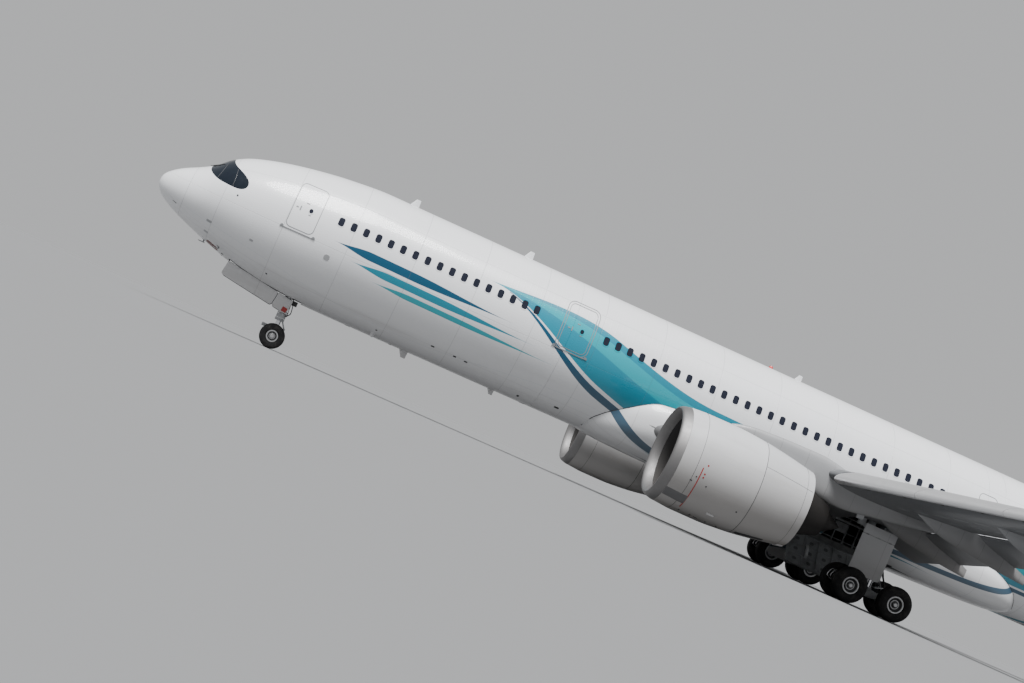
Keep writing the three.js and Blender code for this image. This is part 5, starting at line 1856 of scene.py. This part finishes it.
# Places and half width of the grooves, as shares of the half width
TYRE_GROOVES = (-0.42, -0.14, 0.14, 0.42)
GROOVE_HALF = 0.035
GROOVE_DEPTH = 0.014
WHEEL_BOLTS = 10


def tyre_profile(tyre, out):
    half, radius, rim = tyre["width"] / 2, tyre["radius"], tyre["rim"]
    depth = radius - rim
    profile = [(out + a * half, rim + b * depth) for a, b in TYRE_WALL]
    for groove in TYRE_GROOVES:
        low, high = (out + (groove + way * GROOVE_HALF) * half for way in (-1, 1))
        floor = radius - GROOVE_DEPTH
        profile += [(low, radius), (low, floor), (high, floor), (high, radius)]
    profile += [(out - a * half, rim + b * depth) for a, b in reversed(TYRE_WALL)]
    profile += [(out + 0.55 * half, rim - 0.012), (out - 0.55 * half, rim - 0.012)]
    return profile


def rim_parts(tyre, out, centre):
    """A dished wheel and its bolts, and the rings and hubs on both faces."""
    half, rim = tyre["width"] / 2, tyre["rim"]
    flange = 0.72 * half
    # One face of the dish, from the flange to the hub: distance from the wheel's middle, radius
    face_rows = [
        (0.6 * half, rim - 0.005),
        (flange, rim + 0.012),
        (flange + 0.014, rim + 0.004),
        (flange + 0.008, rim - 0.03),
        (flange - 0.05, rim - 0.045),
        (0.3 * half, rim * 0.62),
        (0.42 * half, rim * 0.48),
        (0.42 * half, 0.1),
    ]
    profile = [(out - a, r) for a, r in face_rows] + [(out + a, r) for a, r in reversed(face_rows)]
    dish = [turned(profile, centre, "x", 48)]
    rings = []
    for face in (-1, 1):
        hub = [(0.3 * half, 0.0), (0.3 * half, 0.11), (0.8 * half, 0.1)]
        hub += [(0.92 * half, 0.07), (0.92 * half, 0.0)]
        ring = [(flange, rim + 0.014), (flange + 0.022, rim + 0.004), (flange + 0.02, rim - 0.045)]
        ring += [(flange - 0.03, rim - 0.06), (flange - 0.03, rim - 0.02)]
        small = [(0.36 * half, rim * 0.56), (0.5 * half, rim * 0.54)]
        small += [(0.5 * half, rim * 0.46), (0.36 * half, rim * 0.44)]
        for rows, sides in ((hub, 24), (ring, 48), (small, 32)):
            rings.append(turned([(out + face * a, r) for a, r in rows], centre, "x", sides))
        for k in range(WHEEL_BOLTS):
            turn = 2 * math.pi * k / WHEEL_BOLTS
            y, z = centre[1] + 0.8 * rim * math.cos(turn), centre[2] + 0.8 * rim * math.sin(turn)
            bolt = [(centre[0] + out + face * reach * half, y, z) for reach in (0.3, 0.62)]
            dish.append(tube(bolt, 0.02, 8))
    return dish, rings


def wheel_pair(name, tyre, centre, add_pieces=add):
    tyres, dishes, rings = [], [], []
    for out in (-tyre["out"], tyre["out"]):
        tyres.append(turned(tyre_profile(tyre, out), centre, "x", 72))
        dish, ring = rim_parts(tyre, out, centre)
        dishes += dish
        rings += ring
    axle = tube([(centre[0] + out, *centre[1:]) for out in (-tyre["out"], tyre["out"])], 0.08, 16)
    add_pieces(name + "_tyres", tyres, "tyre", name, [name])
    add_pieces(name + "_dishes", [*dishes, axle], "wheel", name)
    add_pieces(name + "_rings", rings, "hub", name)


def collar(at, low, high, radius):
    """An upright round part at a place (out, station)."""
    return tube([(*at, low), (*at, high)], radius, 24)


def tubes(rows, origin, ways=(1,), curve=0):
    """Tubes from rows of (points, radius, sides), on one side of an origin or on both.

    A row's route is bent into a curve through its points where curve says of how many points."""
    made = []
    for points, radius, sides in rows:
        for way in ways:
            route = np.array(points, float) * (way, 1, 1) + origin
            made.append(tube(bent(route, curve) if curve else route, radius, sides))
    return made


def crosswise(out, aft, height):
    """The two ends of a part that lies across the middle."""
    return [(-out, aft, height), (out, aft, height)]


NOSE_LEG_FOOT = -3.62
NOSE_FORK_TOP = NOSE_LEG_FOOT - 0.014
# Parts of the nose gear as (points, radius, sides), each point as (out, aft of the leg, height)
NOSE_BRACES = [
    ([(0, 0, -2.45), (0, -1.92, -1.7)], 0.06, 14),
    (crosswise(0.52, 0, -1.85), 0.1, 20),
    (crosswise(0.3, -0.05, NOSE_LEG_FOOT + 0.32), 0.07, 16),
]
NOSE_SIDE_BRACES = [([(0.17, 0, -2.6), (0.3, -1.87, -1.7)], 0.035, 10)]
NOSE_SIDE_HOSES = [([(0.2, 0.05, -2.5), (0.3, 0.25, -2.9), (0.24, 0.32, -3.3), (0.16, 0.16, -3.52)], 0.02, 8)]
NOSE_FITTINGS = [
    ([(0.2, -0.2, -3.38), (0.2, 0.2, -3.38)], 0.055, 14),
    ([(0.17, 0.12, -2.2), (0.17, 0.12, -3.2)], 0.022, 10),
    ([(0.12, -0.16, -2.95), (0.12, -0.16, -2.4)], 0.03, 24),
    ([(0.05, -0.14, -3.45), (0.3, -0.14, -3.45)], 0.03, 10),
]
NOSE_FORK_TUBES = [(crosswise(0.15, 0, NOSE_AXLE), 0.13, 24), (crosswise(0.12, -0.55, -4.13), 0.05, 12)]
# Collars round the leg: low, high, radius
NOSE_COLLARS = [
    (NOSE_LEG_FOOT, NOSE_BAY["roof"], 0.15),
    (NOSE_LEG_FOOT, NOSE_LEG_FOOT + 0.24, 0.2),
    (-2.62, -2.3, 0.185),
    (-3.15, -3.05, 0.175),
]
NOSE_RINGS = [(height, height + 0.035, 0.178) for height in (-2.45, -2.75, -3.25, -3.5)]
LAMP_PROFILE = [(-0.1, 0.0), (-0.1, 0.07), (-0.04, 0.1), (0.05, 0.1), (0.1, 0.04), (0.1, 0.0)]
NOSE_LAMPS = [(-0.2, -3.2), (0.2, -3.2), (-0.14, -2.95), (0.14, -2.95)]


def make_nose_gear():
    leg_at, origin = (0, NOSE_GEAR), (0, NOSE_GEAR, 0)
    leg = [collar(leg_at, *row) for row in NOSE_COLLARS]
    leg += tubes(NOSE_BRACES, origin) + tubes(NOSE_SIDE_BRACES, origin, (1, -1))
    leg.append(box(-0.22, 0.22, 4.62, 4.86, -1.85, NOSE_BAY["roof"]))
    add("nose_leg_metal", leg, "gear", replaces=["nose_leg"])
    lamps = [turned(LAMP_PROFILE, (out, NOSE_GEAR - 0.2, height), "y", 24) for out, height in NOSE_LAMPS]
    add("nose_leg_lamps", lamps, "lamp")
    hoses = []
    for out in (-0.13, -0.06, 0.07, 0.13):
        route = [(out, 0.17, -1.7), (out * 1.3, 0.2, -2.4), (out, 0.19, -3.0), (out * 0.7, 0.23, -3.5)]
        hoses += tubes([(route, 0.014, 8)], origin, curve=16)
    hoses += tubes(NOSE_SIDE_HOSES, origin, (-1, 1), curve=16)
    hoses.append(box(-0.09, 0.09, NOSE_GEAR + 0.2, NOSE_GEAR + 0.42, -2.98, -2.78))
    add("nose_leg_hoses", hoses, "pipe")
    fittings = tubes(NOSE_FITTINGS, origin, (-1, 1)) + [collar(leg_at, *row) for row in NOSE_RINGS]
    add("nose_leg_fittings", fittings, "silver")
    fork = [
        collar(leg_at, NOSE_FORK_TOP - 0.12, NOSE_FORK_TOP, 0.2),
        *tubes(NOSE_FORK_TUBES, origin),
        *torque_link(NOSE_GEAR, 1, 0, NOSE_FORK_TOP - 0.06, -4.02, NOSE_AXLE + 0.1, 0.34),
        box(-0.1, 0.1, 6.08, NOSE_GEAR - 0.05, -4.2, -4.06),
    ]
    add("nose_fork_metal", fork, "gear", "nose_fork", ["nose_fork"])
    add("nose_strut", [collar(leg_at, NOSE_AXLE, NOSE_FORK_TOP, 0.1)], "chrome", "nose_fork")
    wheel_pair("nose_wheels", NOSE_TYRE, (0, NOSE_GEAR, NOSE_AXLE))


def bent(route, count):
    """A smooth curve through a few points."""
    p = np.asarray(route, float)
    at = smooth_rows([(k, *point) for k, point in enumerate(p)])
    return [at(t) for t in np.linspace(0, len(p) - 1, count)]


def torque_link(station, way, out, top, knee, foot, reach):
    """The two hinged arms that keep the strut from turning. way is 1 aft and -1 forward."""
    arms = []
    # Each arm is wide at the leg and narrow at the knee: reach, height, share of the half width
    for ends in (((0.12, top, 1), (reach, knee, 0.3)), ((reach, knee, 0.3), (0.1, foot, 1))):
        for x in (-0.09, 0.09):
            arms.append(tube([(out + x * share, station + way * y, z) for y, z, share in ends], 0.032, 8))
    arms.append(tube([(out + x, station + way * reach, knee) for x in (-0.08, 0.08)], 0.045, 12))
    return arms


# Parts of the left main gear as (points, radius, sides), each point as (out from the leg, aft of it, height)
MAIN_STAYS = [
    ([(0, 0, -3.0), (-0.98, -0.05, -2.385), (-1.99, -0.1, -1.75)], 0.085, 16),
    ([(-0.98, -0.17, -2.385), (-0.98, 0.07, -2.385)], 0.12, 16),
    ([(-0.98, -0.05, -2.385), (-0.14, -0.02, -2.05)], 0.045, 10),
    ([(0, 0, -2.5), (0, -1.25, -1.75)], 0.07, 14),
    ([(-0.1, 0.1, -2.7), (-0.94, 0.12, -1.6)], 0.045, 10),
]
MAIN_LEG_FOOT = -3.35
MAIN_STRUT_TOP = -3.38
# Brake pipes: places out, points as (share of that place, aft of the leg, above the axle), radius
OUTER_ROUTE = [(0.5, 0.25, 0.3), (1, 0.64, 0.42), (1.25, 1.11, 0.36), (1.1, 1.23, 0.05)]
INNER_ROUTE = [(1, 1.11, 0.14), (1.3, 1.51, 0.34), (1.2, 1.65, 0.05), (1, 1.29, -0.12)]
BRAKE_PIPES = [((-0.3, -0.2, 0.2, 0.3), OUTER_ROUTE, 0.016), ((-0.16, 0.16), INNER_ROUTE, 0.02)]
# Half of the bogie's beam: aft of the leg, half height, half width
BOGIE_BEAM = [(0.2, 0.17, 0.17), (0.5, 0.13, 0.12), (0.99, 0.15, 0.14), (1.12, 0.1, 0.1)]


def brake_pipes():
    pipes = []
    for outs, points, radius in BRAKE_PIPES:
        for way in (-1, 1):
            for out in outs:
                route = np.array(points) * (out, way, 1) + (MAIN_OUT, MAIN_GEAR, MAIN_AXLE)
                pipes.append(tube(bent(route, 18), radius, 8))
    return pipes


def main_leg_hoses(origin):
    hoses = []
    for out, back in ((-0.2, 0.36), (0.2, 0.34), (0.0, 0.42)):
        route = [(out, 0.2, -3.1), (out * 1.5, back, -3.45), (out * 1.2, back + 0.2, -3.8), (out, 0.5, -4.1)]
        hoses += tubes([(route, 0.026, 8)], origin, curve=18)
    for k, out in enumerate((-0.16, -0.08, 0.05, 0.14)):
        route = [(out, 0.2, -1.7), (out * 1.2, 0.26, -2.6), (out, 0.25, -3.4)]
        route.append((out * 1.6, 0.4 + 0.05 * k, -3.95))
        hoses += tubes([(route, 0.018, 8)], origin, curve=16)
    return hoses


def bogie_parts(at, pivot):
    """The beam with its axle tubes and brakes, the pivot and the strut behind the leg."""
    rings = []
    for station, high, wide in [(-row[0], *row[1:]) for row in reversed(BOGIE_BEAM)] + BOGIE_BEAM:
        rings.append(cross_ring((MAIN_OUT, MAIN_GEAR + station, MAIN_AXLE), wide, high, 20, 3))
    parts = [loft(rings), collar(at, MAIN_AXLE, pivot + 0.14, 0.17)]
    for aft in (-BOGIE_BASE / 2, BOGIE_BASE / 2):
        origin = (MAIN_OUT, MAIN_GEAR + aft, MAIN_AXLE)
        brakes = [([(out - 0.06, 0, 0), (out + 0.06, 0, 0)], 0.22, 32) for out in (-0.36, 0.36)]
        parts += tubes([(crosswise(0.24, 0, 0), 0.15, 24), *brakes], origin)
    return parts + tubes([([(0, 0.2, -3.5), (0, 0.8, MAIN_AXLE + 0.1)], 0.05, 12)], (*at, 0))


def make_main_gear():
    pivot, roof = MAIN_AXLE + 0.1, LEG_SLOT["roof"]
    at = (MAIN_OUT, MAIN_GEAR)
    leg = [
        collar(at, MAIN_LEG_FOOT, roof, 0.19),
        collar(at, -3.4, -3.12, 0.235),
        collar(at, -2.2, -1.95, 0.25),
        box(3.2, 3.5, MAIN_GEAR - 0.22, MAIN_GEAR + 0.02, -1.9, roof),
        box(MAIN_OUT - 0.12, MAIN_OUT + 0.12, 30.66, 30.92, -1.9, roof),
        *torque_link(MAIN_GEAR, -1, MAIN_OUT, -3.32, -3.62, -3.98, 0.52),
    ]
    add_both("main_leg_SIDE_metal", leg, "gear", replaces=["main_leg_SIDE"])
    add_both("main_stays_SIDE", tubes(MAIN_STAYS, (*at, 0)), "stay")
    add_both("main_brake_pipes_SIDE", brake_pipes(), "silver")
    add_both("main_strut_SIDE", [collar(at, pivot + 0.1, MAIN_STRUT_TOP, 0.13)], "chrome")
    add_both("main_leg_hoses_SIDE", main_leg_hoses((*at, 0)), "pipe")
    add_both("bogie_SIDE_metal", bogie_parts(at, pivot), "gear", replaces=["bogie_SIDE"])
    for which, way in (("front", -1), ("rear", 1)):
        centre = (MAIN_OUT, MAIN_GEAR + way * BOGIE_BASE / 2, MAIN_AXLE)
        wheel_pair(f"main_wheels_{which}_SIDE", MAIN_TYRE, centre, add_both)


# Gear doors and cargo doors


def joint_hinge(child):
    """A joint's point and axis, in the real aircraft's metres."""
    row = next(joint for joint in frame["joints"] if joint["child"] == child)
    x, y, z = (value / MODEL_SCALE for value in row["pos_m"])
    return np.array([x, y + LENGTH / 2, z - CENTRE_HEIGHT]), Vector(row["axis"])


def swung(part, hinge, degrees):
    points, faces = part
    point, axis = hinge
    turn = np.array(Matrix.Rotation(math.radians(degrees), 3, axis))
    return (np.asarray(points, float).reshape(-1, 3) - point) @ turn.T + point, faces


DOOR_RINGS = (1.0, 0.985, 0.75, 0.5, 0.25)


def door_panel(at, outline, thick):
    """A closed panel between a curved skin and its inner face.

    at(a, b, up) is a point for the outline's values, raised by up."""
    outline = np.array(outline)
    count = len(outline)
    rings = [[at(a, b, 0.0) for a, b in outline * share] for share in reversed(DOOR_RINGS)]
    rings += [[at(a, b, -thick) for a, b in outline * share] for share in DOOR_RINGS]
    faces = []
    for k in range(len(rings) - 1):
        faces += ring_faces(count, k * count, (k + 1) * count)
    last, middle = (len(rings) - 1) * count, len(rings) * count
    faces += [[i, (i + 1) % count, middle] for i in range(count)]
    faces += [[last + i, last + (i + 1) % count, middle + 1] for i in range(count)]
    return [*sum(rings, []), at(0, 0, 0), at(0, 0, -thick)], faces


def rib(at, start, end, wide, thick, tall):
    """A rib on a door's inner face, lower at both ends."""
    start, end = np.array(start), np.array(end)
    along = (end - start) / np.linalg.norm(end - start)
    across = np.array([-along[1], along[0]]) * wide / 2
    rings = []
    for share in np.linspace(0, 1, 11):
        point = start + (end - start) * share
        low = -thick + 0.006
        high = -thick - tall * (0.35 + 0.65 * math.sin(math.pi * share) ** 0.4)
        corners = ((-1, low), (1, low), (1, high), (-1, high))
        rings.append([at(*(point + way * across), up) for way, up in corners])
    return loft(rings)


def rib_places(long, wide, frames, stringers):
    """Places of a door's frames along it, and of its stringers across it."""
    reach, rise = long / 2 - 0.08, wide / 2 - 0.06
    return np.linspace(-reach, reach, frames), np.linspace(-rise, rise, stringers)


def ribs(at, long, wide, thick, tall, frames, stringers):
    """Frames across a door and stringers along it, inside its edge."""
    alongs, ups = rib_places(long, wide, frames, stringers)
    reach, rise = long / 2 - 0.06, wide / 2 - 0.05
    made = [rib(at, (a, -rise), (a, rise), 0.04, thick, tall) for a in alongs]
    return made + [rib(at, (-reach, b), (reach, b), 0.03, thick, tall * 0.7) for b in ups]


def inner_plates(at, long, wide, thick, frames, stringers, size):
    """Oval plates in the fields between the ribs."""
    plates = []
    alongs, ups = rib_places(long, wide, frames, stringers)
    for a in (alongs[:-1] + alongs[1:]) / 2:
        for b in (ups[:-1] + ups[1:]) / 2:
            inside = lambda da, db, lift, a=a, b=b: at(a + da, b + db, -thick - lift)
            plates.append(plate_on(inside, rounded(*size, 0.48 * min(size), 5), 0.006))
    return plates


def square_hinge_outline(long, wide, corner, hinge_side):
    """A rectangle whose corners are round on the side away from the hinge."""
    outline = rounded(long, wide, corner, 6)
    near = outline[:, 1] * hinge_side > 0
    sharp = rounded(long, wide, 0.03, 6)
    outline[near] = sharp[near]
    return dense(outline, 0.1)


def nose_door_at(station, out):
    def at(a, b, up):
        s, x = station + a, out + b
        half, top, bottom = body_at(s)
        return (x, s, (top + bottom) / 2 - (top - bottom) / 2 * math.sqrt(1 - (x / half) ** 2) - up)

    return at


def belly_door_at(station, out):
    def at(a, b, up):
        s, x = station + a, out + b
        half, middle, rise = fairing_rows(s)
        drop = (1 - (x / half) ** FAIRING_SQUARENESS) ** (1 / FAIRING_SQUARENESS)
        return (x, s, middle - rise * drop - up)

    return at


def side_at(station, out, height):
    """A flat upright surface: along the station, and up."""
    return lambda a, b, up: (out + up, station + a, height + b)


# name, first station, last station, inner and outer edge, thickness, frames, stringers, rib height
BELLY_DOORS = {
    "nose_gear_door": (3.864, 6.186, 0.007, 0.606, 0.05, 9, 3, 0.045),
    "nose_leg_door": (6.214, 6.9, 0.007, 0.606, 0.05, 4, 3, 0.035),
    "main_gear_door": (29.764, 33.936, 0.464, 2.086, 0.07, 7, 4, 0.06),
}
SEAL_SECTION = [(0.006, 0, 0.01), (0.006, 0, -0.01), (-0.006, 0, -0.01), (-0.006, 0, 0.01)]
NOSE_DOOR_TURN = -88
MAIN_DOOR_TURN = 62


def door_groups(name, at, outline, long, wide):
    """A belly door's pieces: what each is called after, with its parts, material and slot."""
    thick, frames, stringers, tall = BELLY_DOORS[name][4:]
    main = name == "main_gear_door"
    inside = lambda a, b, up: at(a, b, up - 0.5 * thick)
    plate_size = (0.2, 0.15) if main else (0.12, 0.09)
    plates = inner_plates(at, long, wide, thick, frames, stringers, plate_size)
    seal = loft([[np.array(at(a, b, -0.5 * thick)) + d for d in SEAL_SECTION] for a, b in outline], True)
    groups = [
        ("skin", [door_panel(at, outline, 0.5 * thick)], "door" if main else "white", None),
        ("inner", [door_panel(inside, outline, 0.5 * thick)], "door_inside", None),
        ("ribs", ribs(at, long, wide, thick, tall, frames, stringers), "door_inside", None),
        ("inner_plates", plates, "bay", None),
        ("seal", [seal], "seam", None),
    ]
    if name == "nose_leg_door":
        flag_at = lambda a, b, up: at(0.2 + a, -0.17 + b, up)
        flag = plate_on(flag_at, dense(rounded(0.22, 0.2, 0.02, 2), 0.1), 0.006)
        groups.append(("patch", [flag], "red", None))
    if main:
        brackets = [rib(at, (a, -0.35), (a, 0.3), 0.09, thick, 0.2) for a in (-1.2, 0.9)]
        groups.append(("brackets", brackets, "stay", ""))
    return groups


def make_doors():
    nose_hinge, main_hinge = joint_hinge("nose_gear_door_left"), joint_hinge("main_gear_door_left")
    for name, (first, last, inner, outer, *_) in BELLY_DOORS.items():
        middle, out, long, wide = (first + last) / 2, (inner + outer) / 2, last - first, outer - inner
        if name == "main_gear_door":
            hinge, turn, at = main_hinge, MAIN_DOOR_TURN, belly_door_at(middle, out)
            outline = square_hinge_outline(long, wide, 0.3, -1)
        else:
            hinge, turn, at = nose_hinge, NOSE_DOOR_TURN, nose_door_at(middle, out)
            outline = square_hinge_outline(long, wide, 0.1, 1)
        node = name + "_SIDE"
        body = "airframe" if name == "nose_leg_door" else node
        for what, parts, tone, slot in door_groups(name, at, outline, long, wide):
            replaces = [node] if what == "skin" else []
            opened = [swung(one, hinge, turn) for one in parts]
            add_both(f"{node}_{what}", opened, tone, body, replaces, slot)
    make_leg_doors()
    make_cargo_doors()


# The leg door is in two panels, which meet at its flap's height
LEG_DOOR = {"first": 30.9, "last": 32.3, "low": -3.75, "flap": -2.14, "high": -1.75, "out": 5.66}
LEG_DOOR_THICK = 0.06


def make_leg_doors():
    door, flap = LEG_DOOR, LEG_DOOR["flap"]
    middle, long = (door["first"] + door["last"]) / 2, door["last"] - door["first"]
    panels, stiff = [], []
    for low, high, corner in ((door["low"], flap - 0.008, 0.12), (flap + 0.008, door["high"], 0.035)):
        at = side_at(middle, door["out"], (low + high) / 2)
        panels.append(door_panel(at, square_hinge_outline(long, high - low, corner, 1), LEG_DOOR_THICK))
        stiff += ribs(at, long, high - low, LEG_DOOR_THICK, 0.03, 5, 3)
    arms = [box(5.6, 5.672, s - 0.07, s + 0.07, flap - 0.025, flap + 0.025) for s in (31.1, 31.6, 32.1)]
    arms += [box(5.52, 5.62, 31.98, 32.12, low, low + 0.15) for low in (-2.1, -3.25)]
    arms += [tube([(5.5, 32.05, low), (5.6, 31.3, low)], 0.03, 8) for low in (-2.5, -3.3)]
    add_both("leg_door_SIDE_skin", panels, "white", replaces=["leg_door_SIDE"])
    add_both("leg_door_SIDE_ribs", stiff, "door_inside")
    add_both("leg_door_SIDE_arms", arms, "gear")


def make_cargo_doors():
    height = (HOLD["low"] + HOLD["high"]) / 2
    long, tall = 2 * HOLD["half"], HOLD["high"] - HOLD["low"]
    flip = lambda parts: [mirror(one, STARBOARD) for one in parts]
    for which, station in HOLD_STATIONS.items():
        at = lambda a, b, up: on_body(station + a, height + b, up)
        name = "cargo_door_" + which
        panel = door_panel(at, dense(rounded(long, tall, 0.08, 4), 0.1), 0.12)
        add(name + "_skin", flip([panel]), "skin", name, [name])
        add(name + "_ribs", flip(ribs(at, long, tall, 0.12, 0.05, 8, 4)), "door_inside", name)
        handle = lambda a, b, up: at(a, b - 0.5, up)
        marks = [plate_on(handle, dense(rounded(0.26, 0.08, 0.03, 3), 0.1), 0.006)]
        for shift in (-0.9, 0, 0.9):
            upper = lambda a, b, up: at(a + shift, b + 0.7, up)
            marks.append(plate_on(upper, rounded(0.16, 0.05, 0.02, 2), 0.01))
        add(name + "_fittings", flip(marks), "line", name)


# Inside the bays

# Equipment in the left main bay as tubes, (points, radius, sides), and boxes
BAY_TUBES = [
    ([(1.0, 33.1, -1.75), (1.0, 33.8, -1.75)], 0.13, 20),
    ([(1.9, 30.7, -1.9), (1.9, 32.4, -1.9)], 0.055, 12),
]
BAY_BOXES = [(1.35, 1.8, 32.9, 33.7, -2.0, -1.6), (0.6, 0.86, 31.4, 31.95, -2.35, -1.95)]
BOTTLE = {"out": 1.55, "height": -1.85, "stations": (29.95, 30.0, 30.85, 30.9)}
BOTTLE_RADII = [0.1, *[0.17] * 10, 0.1]


def main_bay_frames():
    """Frames across the roof and up the walls, and stringers along the inner wall."""
    bay, roof = MAIN_BAY, MAIN_BAY["roof"]
    inner, outer, front, aft = (bay[key] for key in ("inner", "outer", "front", "aft"))
    frames = []
    for s in np.arange(front + 0.35, aft - 0.2, 0.5):
        frames.append(box(inner + 0.04, outer - 0.04, s - 0.035, s + 0.035, roof - 0.16, roof + 0.01))
        frames.append(box(inner - 0.01, inner + 0.1, s - 0.025, s + 0.025, -2.78, roof))
    for x in np.arange(inner + 0.3, outer, 0.4):
        for low, high in ((front - 0.01, front + 0.12), (aft - 0.12, aft + 0.01)):
            frames.append(box(x - 0.025, x + 0.025, low, high, -2.6, roof))
    for z in (-1.85, -2.3, -2.68):
        frames.append(box(inner - 0.01, inner + 0.07, front + 0.05, aft - 0.05, z - 0.02, z + 0.02))
    return frames


def make_main_bays():
    black, silver = [], []
    for k in range(4):
        x, z = 0.75 + 0.09 * k, -1.62 - 0.02 * k
        route = [(x, 29.9, z - 0.9), (x, 30.1, z - 0.1), (x, 31.2, z), (x + 0.15, 32.6, z)]
        route.append((x, 33.6, z - 0.3))
        (silver if k % 2 else black).append(tube(bent(route, 26), 0.028, 8))
        route = [(1.2, 30.6 + 0.1 * k, -1.66), (2.6, 30.75 + 0.08 * k, -1.62), (4.2, 31.0 + 0.07 * k, -1.6)]
        (black if k % 2 else silver).append(tube(bent(route, 16), 0.024, 8))
    ends = [(BOTTLE["out"], station, BOTTLE["height"]) for station in BOTTLE["stations"]]
    units = [tube(bent(ends, len(BOTTLE_RADII)), BOTTLE_RADII, 24), *tubes(BAY_TUBES, (0, 0, 0))]
    units += [box(*row) for row in BAY_BOXES]
    add_both("main_bay_frames_SIDE", main_bay_frames(), "door_inside")
    add_both("main_bay_pipes_SIDE", black, "pipe")
    add_both("main_bay_silver_pipes_SIDE", silver, "silver")
    add_both("main_bay_units_SIDE", units, "gear")


def make_nose_bay():
    half, roof = NOSE_BAY["half"], NOSE_BAY["roof"]
    frames, pipes = [], []
    for s in np.arange(NOSE_BAY["front"] + 0.3, NOSE_BAY["aft"] - 0.1, 0.42):
        frames.append(box(-half + 0.02, half - 0.02, s - 0.02, s + 0.02, roof - 0.07, roof + 0.01))
        frames += both([box(half - 0.06, half + 0.01, s - 0.02, s + 0.02, -2.3, roof)])
    for x in (-0.42, -0.34, 0.3, 0.38, 0.46):
        route = [(x, 4.0, roof - 0.12), (x, 5.0, roof - 0.1), (x * 0.9, 6.2, roof - 0.13)]
        pipes.append(tube(bent([*route, (x * 0.6, 6.9, roof - 0.3)], 18), 0.02, 8))
    add("nose_bay_frames", frames, "door_inside")
    add("nose_bay_pipes", pipes, "silver")


# Stage

FLOOR_RADIUS = 3000.0
FLOOR_SIDES = 96
BACKDROP = 0.54
# The overhead light gives the floor as much light as the backdrop does, so this tone makes the two look alike
FLOOR_TONE = (0.194, 0.196, 0.199)
OVERHEAD = {"from": (0.42, -0.2, 1.0), "spread": 30, "strength": 7.6}
CAMERA = {"at": (35.0, -12.28, 0.16), "azimuth": 83.05, "rise": 3.26, "roll": 23.75, "lens": 59.64}


def make_stage():
    shade = Shade("studio_floor", roughness=0.9, specular=0.1)
    shade.colour(shade.mix(shade.noise(0.05, 2), FLOOR_TONE, tuple(0.97 * c for c in FLOOR_TONE)))
    turn = 2 * math.pi * np.arange(FLOOR_SIDES) / FLOOR_SIDES
    rim = np.column_stack([np.cos(turn), np.sin(turn), np.zeros(FLOOR_SIDES)]) * FLOOR_RADIUS
    mesh = bpy.data.meshes.new("floor")
    mesh.from_pydata(rim.tolist(), [], [list(range(FLOOR_SIDES))])
    mesh.materials.append(shade.material)
    floor = bpy.data.objects.new("floor", mesh)
    bpy.context.scene.collection.objects.link(floor)
    world = bpy.data.worlds.new("studio")
    world.use_nodes = True
    background = world.node_tree.nodes["Background"]
    background.inputs["Color"].default_value = (0.975, 0.985, 1.0, 1)
    background.inputs["Strength"].default_value = BACKDROP
    bpy.context.scene.world = world
    light = bpy.data.lights.new("overhead", "SUN")
    light.energy = OVERHEAD["strength"]
    light.angle = math.radians(OVERHEAD["spread"])
    obj = bpy.data.objects.new("overhead", light)
    obj.rotation_euler = (-Vector(OVERHEAD["from"])).to_track_quat("-Z", "Y").to_euler()
    bpy.context.scene.collection.objects.link(obj)


def make_camera():
    data = bpy.data.cameras.new("camera")
    data.lens = CAMERA["lens"]
    data.clip_end = 2000
    turn, rise, roll = (math.radians(CAMERA[k]) for k in ("azimuth", "rise", "roll"))
    ahead = Vector((-math.sin(turn) * math.cos(rise), math.cos(turn) * math.cos(rise), math.sin(rise)))
    level = ahead.cross(Vector((0, 0, 1))).normalized()
    above = level.cross(ahead)
    right = math.cos(roll) * level + math.sin(roll) * above
    up = math.cos(roll) * above - math.sin(roll) * level
    camera = bpy.data.objects.new("camera", data)
    turned_to = Matrix((right, up, -ahead)).transposed().to_4x4()
    camera.matrix_world = Matrix.Translation(CAMERA["at"]) @ turned_to
    bpy.context.scene.collection.objects.link(camera)
    bpy.context.scene.camera = camera


make_stage()
make_camera()
make_body()
make_fairing()
make_windows()
make_cabin_doors()
make_body_fittings()
make_wings()
make_tail()
make_wing_fittings()
make_engines()
make_nose_gear()
make_main_gear()
make_doors()
make_main_bays()
make_nose_bay()
